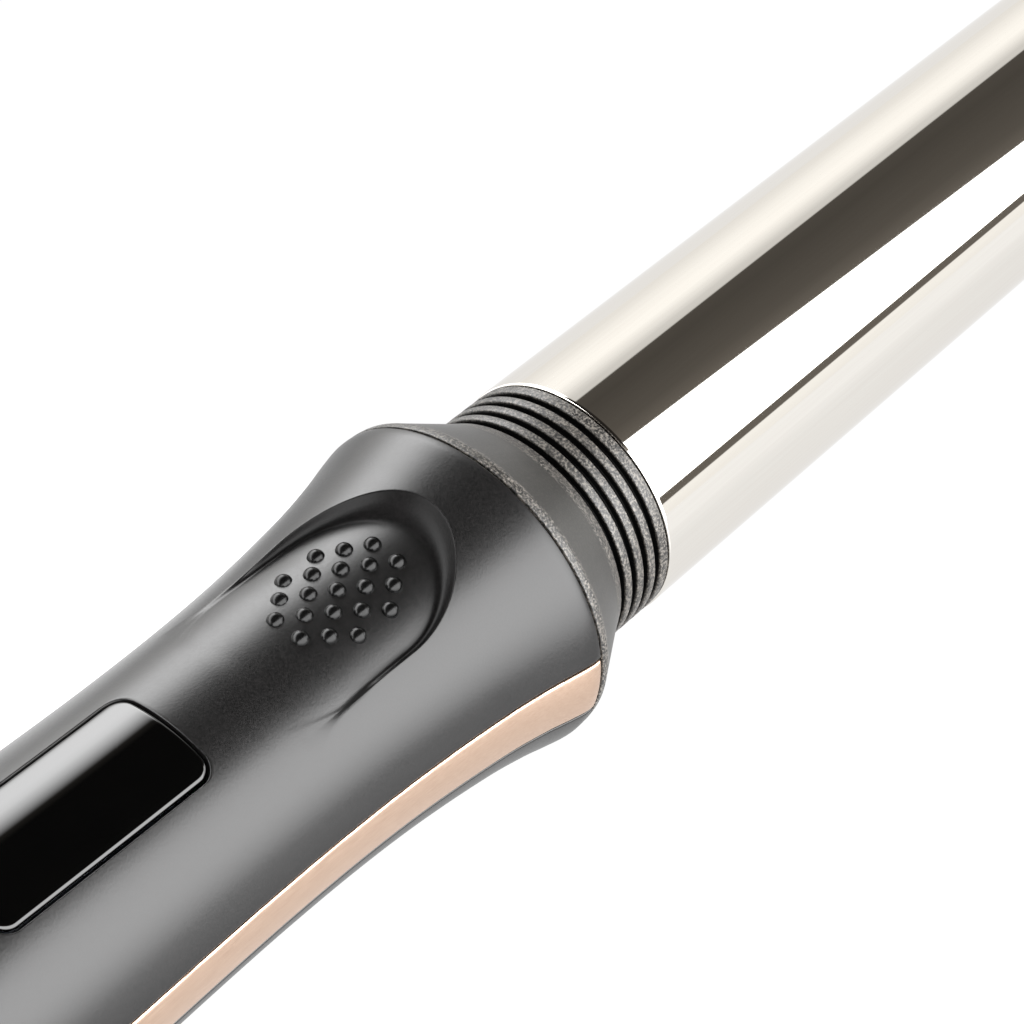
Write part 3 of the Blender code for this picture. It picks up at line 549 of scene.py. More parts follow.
def crease_blend(station):
    """Width over which the scoop's edge is softened; the edge dies away towards its rear."""
    rise = (CREASE_FADE_START - station) / (CREASE_FADE_START - CREASE_FADE_FULL)
    fall = (station - CREASE_FADE_END) / CREASE_FADE_LENGTH
    return CREASE_BLEND + CREASE_SOFTNESS * eased(min(rise, fall))


def crossing(start, way, radius_at):
    """Reach along a plan direction at which the scoop's wall meets a round surface."""
    low, high = REACH_LIMITS
    for _ in range(HALVINGS):
        reach = (low + high) / 2
        station = start + way[0] * reach
        if wall_height(reach) < round_height(radius_at(station), way[1] * reach):
            low = reach
        else:
            high = reach
    return reach


def scoop_row(start, way, edge):
    """Places from the scoop's middle line out over its crease to the sheet's edge."""
    foot = crossing(start, way, scoop_floor)
    crease = crossing(start, way, handle_radius)
    foot = min(foot, crease - SHORTEST_WALL)
    forward = max(way[0], 0.0)
    fillet = SIDE_FILLET + (FRONT_FILLET - SIDE_FILLET) * forward ** 2
    marks = (0.0, foot - fillet * FILLET_LEAD, foot + FILLET_SHARE * (crease - foot),
             crease - CREASE_BAND, crease + CREASE_BAND, crease + BEYOND_CREASE)
    reaches = [0.0]
    for near, far, count in zip(marks, marks[1:], SCOOP_COLUMNS):
        reaches += spread(near, far, count)[1:]
    even = eased((SCOOP_FADE - start) / (SCOOP_FADE - SCOOP_REGION_REAR))
    side = -1 if way[1] > 0 else 1
    row = []
    for k, reach in enumerate(reaches):
        station, sideways = start + way[0] * reach, way[1] * reach
        height = scooped_height(station, sideways, reach, fillet)
        angle = math.degrees(math.atan2(-sideways, height))
        target = side * SHELL_EDGE * k / HALF_COLUMNS
        angle = angle + (target - angle) * even
        row.append((station, angle, math.hypot(sideways, height)))
    last_station, last_angle = row[-1][0], row[-1][1]
    for k in range(1, OUTER_COLUMNS + 1):
        t = k / OUTER_COLUMNS
        station = last_station + (edge[0] - last_station) * t
        angle = last_angle + (edge[1] - last_angle) * t
        target = side * SHELL_EDGE * (len(reaches) - 1 + k) / HALF_COLUMNS
        angle = angle + (target - angle) * even
        row.append((station, angle, handle_radius(station)))
    lasting = min(max((start - WALL_FADE_END) / (WALL_FADE_START - WALL_FADE_END), 0.0), 1.0)
    return [on_wand(*point) for point in row], [wall_shade_share(k) * lasting for k in range(len(row))]


def wall_shade_share(column):
    """How far a column of the scoop's sheet belongs to its steep wall, from 0 to 1: its share of the
    wall's painted shade.
    """
    rising = (column - WALL_FOOT) / (WALL_FULL - WALL_FOOT)
    falling = (WALL_END - column) / (WALL_END - WALL_CREASE)
    return max(min(rising, falling, 1.0), 0.0)


def scoop_rows():
    """Rows round the scoop, from left rear over its front to right rear, with their shares of the wall's
    painted shade.
    """
    rows = []
    arm = spread(SCOOP_REGION_REAR, SCOOP_CENTRE, ARM_ROWS)
    for station in arm[:-1]:
        rows.append(scoop_row(station, (0.0, 1.0), (station, -SHELL_EDGE)))
    for k in range(FAN_ROWS + 1):
        turn = math.pi * k / FAN_ROWS
        from_end = min(k, FAN_ROWS - k)
        side = -1 if k <= FAN_ROWS / 2 else 1
        if from_end <= FAN_CORNER:
            station = SCOOP_CENTRE + (SHELL_FRONT - SCOOP_CENTRE) * from_end / FAN_CORNER
            edge = (station, side * SHELL_EDGE)
        else:
            across = (k - FAN_CORNER) / (FAN_ROWS - 2 * FAN_CORNER)
            edge = (SHELL_FRONT, SHELL_EDGE * (2 * across - 1))
        rows.append(scoop_row(SCOOP_CENTRE, (math.sin(turn), math.cos(turn)), edge))
    for station in reversed(arm[:-1]):
        rows.append(scoop_row(station, (0.0, -1.0), (station, SHELL_EDGE)))
    return rows


def plain_rows(front, rear, count, angles):
    return [[on_wand(s, a, handle_radius(s)) for a in angles] for s in spread(front, rear, count)]


def resampled(line, count):
    """Points spaced evenly along an open line."""
    lengths = [0.0]
    for a, b in zip(line, line[1:]):
        lengths.append(lengths[-1] + math.dist(a, b))
    points = []
    for k in range(count + 1):
        target = lengths[-1] * k / count
        i = max(j for j in range(len(line) - 1) if lengths[j] <= target + 1e-12)
        span = lengths[i + 1] - lengths[i]
        t = (target - lengths[i]) / span if span else 0.0
        a, b = line[i], line[i + 1]
        points.append((a[0] + (b[0] - a[0]) * t, a[1] + (b[1] - a[1]) * t))
    return points


def outline_sides(centre, half_s, half_y, corner, counts, bend=8):
    """Loop of a rounded rectangle in plan, as four sides from one corner's middle to the next."""
    reach_s, reach_y = half_s - corner, half_y - corner
    corners = [(reach_s, reach_y), (reach_s, -reach_y), (-reach_s, -reach_y), (-reach_s, reach_y)]
    loop = []
    for k in range(4):
        start = 45 - 90 * k
        line = []
        for index, first in ((k, start), ((k + 1) % 4, start - 45)):
            for j in range(bend + 1):
                turn = math.radians(first - 45 * j / bend)
                line.append((centre[0] + corners[index][0] + corner * math.cos(turn),
                             centre[1] + corners[index][1] + corner * math.sin(turn)))
        loop += resampled(line, counts[k % 2])[:-1]
    return loop + [loop[0]]


def plan_to_skin(station, sideways, below=False):
    """Station and clock angle of the skin point straight over or under a plan point."""
    height = round_height(handle_radius(station), sideways)
    angle = math.degrees(math.atan2(-sideways, -height if below else height))
    return station, angle % 360 if below else angle


def holed_rows(front, rear, count, angles, hole, below=False):
    """Rows from the rim of a hole out to the edges of the rectangle of skin round it."""
    across = len(angles) - 1
    stations = spread(front, rear, count)
    border = [(front, a) for a in angles[:-1]]
    border += [(s, angles[-1]) for s in stations[:-1]]
    border += [(rear, a) for a in reversed(angles[1:])]
    border += [(s, angles[0]) for s in reversed(stations)]
    rim = [plan_to_skin(*point, below) for point in outline_sides(*hole, (across, count))]
    rows = []
    for (s0, a0), (s1, a1) in zip(rim, border):
        row = []
        for k in range(HOLE_RINGS + 1):
            t = (k / HOLE_RINGS) ** RING_GROWTH
            station, angle = s0 + (s1 - s0) * t, a0 + (a1 - a0) * t
            row.append(on_wand(station, angle, handle_radius(station)))
        rows.append(row)
    return rows


def laid_band(label, front, rear, count, angles, holes=(), below=False):
    """Sheets that fill one length of a shell, round any holes in it."""
    sheets = []
    column = 0
    for number, (first, last, hole) in enumerate(holes):
        if first > column:
            rows = plain_rows(front, rear, count, angles[column:first + 1])
            sheets.append(laid_sheet(f"{label}_plain_{number}", rows))
        rows = holed_rows(front, rear, count, angles[first:last + 1], hole, below)
        sheets.append(laid_sheet(f"{label}_holed_{number}", rows))
        column = last
    rows = plain_rows(front, rear, count, angles[column:])
    sheets.append(laid_sheet(f"{label}_plain_end", rows))
    return sheets


def face_outwards(piece, line_point=AXIS_POINT):
    """Turns an open sheet so that its faces look away from the wand's axis."""
    close_seams(piece)
    total = 0.0
    for face in piece.data.polygons:
        away = face.center - line_point
        away.x = 0.0
        total += face.normal.dot(away)
    if total < 0:
        edit_all(piece)
        bpy.ops.mesh.flip_normals()
        bpy.ops.object.mode_set(mode="OBJECT")


def thicken(piece, wall):
    modify(piece, "Wall", "SOLIDIFY", thickness=wall, offset=-1.0, use_even_offset=False)


# --- the pieces ---------------------------------------------------------------------------
def make_barrel(metal):
    """Drawn titanium-plated tube with a rounded rim at its foot and a spigot into the collar."""
    inner = BARREL_RADIUS - BARREL_WALL
    outline = filleted([
        (BARREL_END, BARREL_RADIUS, RIM_FILLET), (BARREL_END - RIM_LOOP, BARREL_RADIUS, 0),
        (RIM_LOOP, BARREL_RADIUS, 0), (BARREL_FOOT, BARREL_RADIUS, FOOT_FILLET),
        (BARREL_FOOT, SPIGOT_RADIUS, 0), (SPIGOT_END, SPIGOT_RADIUS, 0),
        (SPIGOT_END, SPIGOT_BORE, 0), (SPIGOT_ROOT, SPIGOT_BORE, 0), (SPIGOT_ROOT, inner, 0),
        (BARREL_END, inner, RIM_FILLET)], 8)
    piece = turned("barrel_tube_finished", outline, 320)
    smooth(piece)
    finish(piece, "handle", metal, "barrel_tube")


def make_tip(plastic):
    """Hollow moulded tip with a domed end and a plug that sits in the barrel."""
    plug = BARREL_RADIUS - BARREL_WALL - GAP
    front = BARREL_END + GAP
    outline = filleted([
        (TIP_END, 0.0, 0), (TIP_END, 9.6 * MM, 3.0 * MM), (172.6 * MM, 13.4 * MM, 3.0 * MM),
        (168.0 * MM, BARREL_RADIUS, 4.0 * MM), (front, BARREL_RADIUS, 0.3 * MM), (front, plug, 0),
        (TIP_PLUG_END, plug, 0.3 * MM), (TIP_PLUG_END, plug - TIP_WALL, 0.3 * MM),
        (170.0 * MM, plug - TIP_WALL, 0), (TIP_HOLLOW_END, 10.0 * MM, 0),
        (TIP_HOLLOW_END, 0.0, 0)], 8)
    piece = turned("cool_tip_finished", outline, 160)
    smooth(piece)
    finish(piece, "handle", plastic, "cool_tip")


def make_collar(plastic):
    """Moulded collar with four undercut grooves, a cone and the band that meets the shells."""
    corners = [(0.0, COLLAR_RADIUS, 0.3 * MM)]
    for k in range(GROOVE_COUNT):
        front = -END_RIM - k * RIB_PITCH
        rear = front - GROOVE_WIDTH
        corners += [(front, COLLAR_RADIUS, RIB_FILLET), (front, GROOVE_FLOOR, ROOT_FILLET),
                    (rear, GROOVE_FLOOR, ROOT_FILLET), (rear, COLLAR_RADIUS, RIB_FILLET)]
    corners += [(CONE_FRONT, 17.1 * MM, 0.5 * MM), (CONE_REAR, 20.66 * MM, 0.3 * MM),
                (-17.8 * MM, 21.06 * MM, 0.6 * MM), (BAND_END, BAND_RADIUS, 0.15 * MM),
                (BAND_END, TENON_RADIUS, 0), (TENON_END, TENON_RADIUS, 0),
                (TENON_END, TENON_BORE, 0), (SEAT_FACE, TENON_BORE, 0),
                (SEAT_FACE, COLLAR_BORE, 0), (0.0, COLLAR_BORE, 0)]
    piece = turned("ribbed_collar_finished", filleted(corners, 6), 256)
    smooth(piece)
    finish(piece, "handle", plastic, "ribbed_collar")


def make_dots():
    """Domed grip dots in staggered rows on the scoop's floor."""
    dots = []
    middle = (len(DOT_ROWS) - 1) / 2
    reach = SCOOP_FLOOR - DOT_SINK
    for row, number in enumerate(DOT_ROWS):
        station = DOT_FIELD_CENTRE + (row - middle) * DOT_ROW_PITCH
        for k in range(number):
            sideways = (k - (number - 1) / 2) * DOT_PITCH
            place = AXIS_POINT + Vector((station, sideways, round_height(reach, sideways)))
            dot = start_piece(f"dot_{row}_{k}", bpy.ops.mesh.primitive_uv_sphere_add, segments=40,
                              ring_count=24, radius=DOT_RADIUS, location=place)
            settle(dot)
            dots.append(dot)
    piece = join(dots, "grip_dots")
    bpy.ops.object.shade_smooth()
    return piece


def make_top_shell(plastic, gloss):
    """Upper shell in one sheet: the scoop's fan of rows, then bands round the window and keys."""
    rows = scoop_rows()
    scoop = laid_sheet("scoop_sheet", [points for points, _ in rows])
    wall_shades = scoop.data.attributes.new(WALL_SHADE_MARK, "FLOAT", "POINT")
    for point, share in zip(wall_shades.data, [share for _, shares in rows for share in shares]):
        point.value = share
    sheets = [scoop]
    span = (HALF_COLUMNS - HOLE_COLUMNS, HALF_COLUMNS + HOLE_COLUMNS)
    middle = ((WINDOW_FRONT + WINDOW_REAR) / 2, 0.0)
    half_length = (WINDOW_FRONT - WINDOW_REAR) / 2
    window = (middle, half_length + GAP, WINDOW_HALF_WIDTH + GAP, WINDOW_CORNER + GAP)
    bands = [("window", SCOOP_REGION_REAR, BAND_EDGES[0], WINDOW_ROWS, window)]
    for (label, (station, radius)), front, rear in zip(BUTTONS.items(), BAND_EDGES, BAND_EDGES[1:]):
        hole = radius + GAP
        bands.append((label, front, rear, KEY_ROWS, ((station, 0.0), hole, hole, hole)))
    for label, front, rear, count, hole in bands:
        sheets += laid_band(label, front, rear, count, SKIN_ANGLES, [(*span, hole)])
    sheets += laid_band("tail", BAND_EDGES[-1], SHELL_REAR, TAIL_ROWS, SKIN_ANGLES)
    piece = join(sheets, "top_shell_finished")
    face_outwards(piece)
    thicken(piece, TOP_WALL)
    round_edges(piece, SHELL_ROUNDING, 3, SHARP_EDGE)
    smooth(piece)
    piece.data.materials.clear()
    piece.data.materials.append(plastic)
    dots = make_dots()
    dots.data.materials.append(gloss)
    piece = join([piece, dots], "top_shell_finished")
    finish(piece, "handle", None, "top_shell")


def make_bottom_shell(plastic):
    """Lower shell with four screw holes and their sleeves, and the stand's notch and lugs."""
    angles = [180 - a for a in SKIN_ANGLES]
    radius = HEAD_RADIUS + GAP
    near, far = SCREW_COLUMNS
    (front_start, front_end), (rear_start, rear_end) = SCREW_BANDS.values()
    holes = []
    for station in SCREW_STATIONS.values():
        pair = []
        for side, first, last in ((1, -far, -near), (-1, near, far)):
            hole = (station, side * SCREW_OFFSET), radius, radius, radius
            pair.append((HALF_COLUMNS + first, HALF_COLUMNS + last, hole))
        holes.append(pair)
    sheets = laid_band("front", SHELL_FRONT, front_start, FRONT_ROWS, angles)
    sheets += laid_band("front_screws", front_start, front_end, SCREW_ROWS, angles, holes[0], True)
    sheets += laid_band("grip", front_end, rear_start, GRIP_ROWS, angles)
    sheets += laid_band("rear_screws", rear_start, rear_end, SCREW_ROWS, angles, holes[1], True)
    sheets += laid_band("rear", rear_end, SHELL_REAR, REAR_ROWS, angles)
    piece = join(sheets, "bottom_shell_finished")
    face_outwards(piece)
    thicken(piece, BOTTOM_WALL)
    round_edges(piece, SHELL_ROUNDING, 3, SHARP_EDGE)
    cut_away(piece, cross_rod("notch", 96, NOTCH_RADIUS, 2 * LUG_INNER), "Notch")
    extras = [piece, make_lug(-1), make_lug(1)]
    for label, station in SCREW_STATIONS.items():
        for side in (-1, 1):
            place = AXIS_POINT + Vector((station, side * SCREW_OFFSET, 0.0))
            outer = radius + SLEEVE_WALL
            outline = [(SLEEVE_SEAT, SLEEVE_BORE), (SLEEVE_SEAT, radius), (SLEEVE_MOUTH, radius),
                       (SLEEVE_MOUTH, outer), (SLEEVE_SEAT + SLEEVE_WALL, outer),
                       (SLEEVE_SEAT + SLEEVE_WALL, SLEEVE_BORE)]
            extras.append(turned(f"sleeve_{label}_{side}", outline, 48, place, True))
    piece = join(extras, "bottom_shell_finished")
    smooth(piece)
    finish(piece, "handle", plastic, "bottom_shell")


def make_lug(side):
    """One of the two lugs that hold the stand's pin."""
    middle = side * (LUG_INNER + LUG_OUTER) / 2
    lug = block(f"lug_{side}", (STAND_PIVOT.x, middle, LUG_TOP / 2),
                (2 * LUG_HALF_LENGTH, LUG_OUTER - LUG_INNER, LUG_TOP))
    round_edges(lug, 0.5 * MM, 4)
    cut_away(lug, cross_rod("bore", 48, PIN_BORE, 20 * MM), "Pin bore")
    return lug


def make_trim(metal):
    """Anodised strips, flush with the skin, with a diamond-cut bevel along each edge."""
    stations = spread(SHELL_FRONT, SCOOP_REGION_REAR, STRIP_ROWS[0])
    stations += spread(SCOOP_REGION_REAR, SHELL_REAR, STRIP_ROWS[1])[1:]
    for name, middle in (("left_trim_strip", -90), ("right_trim_strip", 90)):
        angles = spread(middle - STRIP_HALF, middle + STRIP_HALF, 14)
        rows = [[on_wand(s, a, handle_radius(s)) for a in angles] for s in stations]
        piece = laid_sheet(f"{name}_finished", rows)
        face_outwards(piece)
        thicken(piece, STRIP_WALL)
        round_edges(piece, STRIP_BEVEL, 3)
        smooth(piece, 30)
        finish(piece, "handle", metal, name)


def make_window(acrylic):
    """Curved acrylic pane with a polished bevel round its edge."""
    centre = ((WINDOW_FRONT + WINDOW_REAR) / 2, 0.0)
    half_length = (WINDOW_FRONT - WINDOW_REAR) / 2
    insets = spread(0.0, PANE_BEVEL, 5) + spread(PANE_BEVEL, WINDOW_HALF_WIDTH, 22)[1:]
    loops = []
    for inset in insets:
        corner = max(WINDOW_CORNER - inset, 0.0)
        corner = min(corner, WINDOW_HALF_WIDTH - inset)
        bevel = max(1 - inset / PANE_BEVEL, 0.0)
        drop = PANE_DROP * (1 - math.sqrt(1 - bevel ** 2))
        loop = outline_sides(centre, half_length - inset, WINDOW_HALF_WIDTH - inset, corner, (40, 90))
        points = []
        for station, sideways in loop:
            station, angle = plan_to_skin(station, sideways)
            points.append(on_wand(station, angle, handle_radius(station) - drop))
        loops.append(points)
    piece = laid_sheet("display_window_finished", loops)
    face_outwards(piece)
    thicken(piece, PANE_WALL)
    smooth(piece, 50)
    finish(piece, "handle", acrylic, "display_window")


def bar(name, centre, size):
    """One stroke of a key's mark, with its long edges rounded."""
    piece = block(name, centre, size)
    round_edges(piece, min(size[:2]) * 0.3, 2)
    return piece


def make_mark(label, station):
    """Raised symbol on a key: a bar, a cross, or a broken ring with a stroke."""
    centre = AXIS_POINT + Vector((station, 0.0, BUTTON_TOP - MARK_SINK))
    if label == "minus":
        return [bar("minus_bar", centre, (MARK_WIDTH, MARK_LENGTH, MARK_HEIGHT))]
    if label == "plus":
        return [bar("plus_bar_across", centre, (MARK_WIDTH, MARK_LENGTH, MARK_HEIGHT)),
                bar("plus_bar_along", centre, (MARK_LENGTH, MARK_WIDTH, MARK_HEIGHT))]
    stroke = bar("power_stroke", centre + Vector((1.25 * MM, 0, 0)), (1.7 * MM, MARK_WIDTH, MARK_HEIGHT))
    start = centre + Vector((RING_RADIUS * math.cos(RING_OPENING),
                             RING_RADIUS * math.sin(RING_OPENING), 0))
    ring = start_piece("power_ring", bpy.ops.mesh.primitive_plane_add, size=1.0, location=start,
                       rotation=(QUARTER, 0, RING_OPENING))
    ring.scale = (MARK_WIDTH, MARK_HEIGHT, 1)
    settle(ring)
    edit_all(ring)
    bpy.ops.mesh.spin(steps=48, angle=-2 * (math.pi - RING_OPENING), center=centre, axis=(0, 0, 1))
    bpy.ops.mesh.select_all(action="SELECT")
    bpy.ops.mesh.normals_make_consistent(inside=False)
    bpy.ops.object.mode_set(mode="OBJECT")
    return [stroke, ring]


def make_buttons(rubber, paint):
    """Domed key caps with a flange under the shell, a stem to the switch, and a printed mark."""
    for label, (station, radius) in BUTTONS.items():
        flange = radius + KEY_FLANGE
        outline = filleted([
            (BUTTON_TOP, 0.0, 0), (BUTTON_TOP - 0.12 * MM, radius * 0.7, 0.6 * MM),
            (BUTTON_TOP - 0.35 * MM, radius, 0.35 * MM), (KEY_FLANGE_TOP, radius, 0),
            (KEY_FLANGE_TOP, flange, 0), (KEY_FLANGE_BASE, flange, 0),
            (KEY_FLANGE_BASE, KEY_STEM_RADIUS, 0), (KEY_STEM_END, KEY_STEM_RADIUS, 0),
            (KEY_STEM_END, 0.0, 0)], 6)
        centre = AXIS_POINT + Vector((station, 0.0, 0.0))
        cap = turned(f"{label}_key_cap", outline, 96, centre, True)
        smooth(cap)
        cap.data.materials.append(rubber)
        marks = join(make_mark(label, station), f"{label}_mark")
        smooth(marks)
        marks.data.materials.clear()
        marks.data.materials.append(paint)
        piece = join([cap, marks], f"{label}_button_finished")
        finish(piece, f"{label}_key", None, f"{label}_button")


def make_tail(plastic, rubber):
    """Rounded cap that closes the handle, and the ringed cord gland that turns in it."""
    outline = filleted([
        (CAP_FRONT, 14.5 * MM, 0), (CAP_SHOULDER, 14.5 * MM, 0), (CAP_SHOULDER, 17.25 * MM, 0.25 * MM),
        (-153.6 * MM, 17.1 * MM, 2.5 * MM), (-157.6 * MM, 13.6 * MM, 3.2 * MM),
        (CAP_REAR, 9.6 * MM, 0.8 * MM), (CAP_REAR, 6.5 * MM, 0.25 * MM),
        (CAP_WEB, 6.5 * MM, 0), (CAP_WEB, 12.5 * MM, 0), (CAP_FRONT, 12.5 * MM, 0)], 7)
    cap = turned("tail_cap_finished", outline, 192)
    smooth(cap)
    finish(cap, "handle", plastic, "tail_cap")
    corners = [
        (GLAND_FRONT, GLAND_NECK, 0), (-153.1 * MM, GLAND_NECK, 0),
        (-153.1 * MM, GLAND_FLANGE, 0.2 * MM), (-155.1 * MM, GLAND_FLANGE, 0.2 * MM),
        (-155.1 * MM, GLAND_NECK, 0), (-158.4 * MM, GLAND_NECK, 0),
        (-158.4 * MM, 8.3 * MM, 0.3 * MM), (-160.4 * MM, 8.5 * MM, 0.8 * MM)]
    for k in range(3):
        ring = -161.8 * MM - GLAND_RING_PITCH * k
        body = 8.3 * MM - GLAND_TAPER * k
        corners += [(ring, body, 0.15 * MM), (ring - 0.1 * MM, body - 0.45 * MM, 0.12 * MM),
                    (ring - 0.6 * MM, body - 0.48 * MM, 0.12 * MM),
                    (ring - 0.7 * MM, body - 0.05 * MM, 0.15 * MM)]
    corners += [(-167.2 * MM, 7.0 * MM, 0.8 * MM), (GLAND_REAR, 5.8 * MM, 0.4 * MM),
                (GLAND_REAR, GLAND_BORE, 0.3 * MM), (GLAND_FRONT, GLAND_BORE, 0)]
    gland = turned("swivel_gland_finished", filleted(corners, 4), 128)
    smooth(gland)
    finish(gland, "cord_swivel", rubber, "swivel_gland")


def make_screws(steel):
    """Pan-head screws with a cross recess, sunk in the lower shell."""
    head = -SCREW_HEAD_DEPTH
    for label, station in SCREW_STATIONS.items():
        for side, hand in ((1, "left"), (-1, "right")):
            place = AXIS_POINT + Vector((station, side * SCREW_OFFSET, 0.0))
            outline = filleted([
                (SCREW_TOP, 0.0, 0), (SCREW_TOP, 0.7 * MM, 0), (6.0 * MM, SHANK_RADIUS, 0),
                (head + HEAD_HEIGHT, SHANK_RADIUS, 0.15 * MM),
                (head + HEAD_HEIGHT, HEAD_RADIUS, 0.15 * MM),
                (head, HEAD_RADIUS, 0.9 * MM), (head, 0.0, 0)], 6)
            screw = turned(f"shell_screw_{label}_{hand}_finished", outline, 64, place, True)
            for turn in (45, 135):
                slot = block("slot", place + Vector((0, 0, head)), SLOT_SIZE,
                             rotation=(0, 0, math.radians(turn)))
                cut_away(screw, slot, "Recess")
            smooth(screw)
            finish(screw, "handle", steel, f"shell_screw_{label}_{hand}")


def make_stand(plastic, steel):
    """The folding stand, cut from the model's own shape with its edges rounded."""
    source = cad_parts["folding_stand"]
    bpy.ops.object.select_all(action="DESELECT")
    piece = bpy.data.objects.new("folding_stand_finished", source.data.copy())
    bpy.context.scene.collection.objects.link(piece)
    close_seams(piece)
    edit_all(piece)
    bpy.ops.mesh.dissolve_limited(angle_limit=math.radians(1.0))
    bpy.ops.object.mode_set(mode="OBJECT")
    round_edges(piece, 0.35 * MM, 3, 60)
    smooth(piece, 35)
    finish(piece, "stand", plastic, "folding_stand")
    pin = cross_rod("stand_pin_finished", 64, PIN_RADIUS, 2 * LUG_OUTER - 2 * GAP)
    settle(pin)
    round_edges(pin, 0.15 * MM, 3)
    smooth(pin)
    finish(pin, "handle", steel, "stand_pin")


# --- materials ----------------------------------------------------------------------------
def bare_material(name):
    """A material that has only its output, and the object's own coordinates to read."""
    material = bpy.data.materials.new(name)
    material.use_nodes = True
    tree = material.node_tree
    tree.nodes.clear()
    output = add_node(tree, "ShaderNodeOutputMaterial")
    place = add_node(tree, "ShaderNodeTexCoord").outputs["Object"]
    return material, tree, output, place


def new_material(name):
    material, tree, output, place = bare_material(name)
    shader = add_node(tree, "ShaderNodeBsdfPrincipled")
    tree.links.new(shader.outputs["BSDF"], output.inputs["Surface"])
    return material, tree, shader, place


def grained(name, dark, light, roughness, grain, depth, metallic=0.0, ior=1.5, swing=0.08):
    """Moulded or cast surface: even grain of one size, with matching tone and gloss changes."""
    material, tree, shader, place = new_material(name)
    shader.inputs["Metallic"].default_value = metallic
    if metallic == 0.0:
        shader.inputs["IOR"].default_value = ior
    texture = add_node(tree, "ShaderNodeTexNoise", {"Vector": place},
                       {"Scale": 1.0 / grain, "Detail": 2.0, "Roughness": 0.55})
    tone = add_node(tree, "ShaderNodeValToRGB", {"Fac": texture.outputs["Fac"]})
    tone.color_ramp.elements[0].position = 0.3
    tone.color_ramp.elements[0].color = to_linear(dark)
    tone.color_ramp.elements[1].position = 0.7
    tone.color_ramp.elements[1].color = to_linear(light)
    tree.links.new(tone.outputs["Color"], shader.inputs["Base Color"])
    gloss = add_node(tree, "ShaderNodeMapRange", {"Value": texture.outputs["Fac"]},
                     {"From Min": 0.3, "From Max": 0.7, "To Min": roughness - swing,
                      "To Max": roughness + swing})
    tree.links.new(gloss.outputs["Result"], shader.inputs["Roughness"])
    bump = add_node(tree, "ShaderNodeBump", {"Height": texture.outputs["Fac"]},
                    {"Strength": 1.0, "Distance": depth})
    tree.links.new(bump.outputs["Normal"], shader.inputs["Normal"])
    return material


def titanium_plate():
    """Titanium-plated drawn tube, buffed along its length.
    Gives the eye a warm white mirror with only a trace of lengthwise polishing lines."""
    material, tree, shader, place = new_material("polished_titanium_plate")
    shader.inputs["Metallic"].default_value = 1.0
    shader.inputs["Specular Tint"].default_value = (0.90, 0.89, 0.88, 1.0)
    stretched = add_node(tree, "ShaderNodeMapping", {"Vector": place}, {"Scale": (0.02, 1.0, 1.0)})
    lines = add_node(tree, "ShaderNodeTexNoise", {"Vector": stretched.outputs["Vector"]},
                     {"Scale": 1.0 / (0.4 * MM), "Detail": 3.0})
    gloss = add_node(tree, "ShaderNodeMapRange", {"Value": lines.outputs["Fac"]},
                     {"To Min": 0.015, "To Max": 0.05})
    tree.links.new(gloss.outputs["Result"], shader.inputs["Roughness"])
    tone = add_node(tree, "ShaderNodeValToRGB", {"Fac": lines.outputs["Fac"]})
    tone.color_ramp.elements[0].position = 0.25
    tone.color_ramp.elements[0].color = to_linear("e5e1db")
    tone.color_ramp.elements[1].position = 0.75
    tone.color_ramp.elements[1].color = to_linear("e8e5df")
    tree.links.new(tone.outputs["Color"], shader.inputs["Base Color"])
    return material


def soft_touch():
    """ABS shell under soft-touch lacquer.
    Gives the eye a charcoal skin with broad silky highlights and a dusting of fine grain, drawn
    about twice as coarse as the real one, which is too fine to show. On the scoop's steep wall the
    lacquer's reflection is turned down as painted shade, so the wall looks dark."""
    material = grained("soft_touch_lacquered_abs", "060606", "0e0d0d", 0.33, 0.3 * MM, 0.009 * MM,
                       ior=1.45, swing=0.03)
    tree = material.node_tree
    # painted shade: on the scoop's steep wall the lacquer's reflection level drops from 0.5 to 0.09
    wall = add_node(tree, "ShaderNodeAttribute", attribute_name=WALL_SHADE_MARK)
    painted_shade_level = add_node(tree, "ShaderNodeMapRange", {"Value": wall.outputs["Fac"]},
                     {"To Min": 0.5, "To Max": 0.09})
    shader = tree.nodes["Principled BSDF"]
    tree.links.new(painted_shade_level.outputs["Result"], shader.inputs["Specular IOR Level"])
    return material


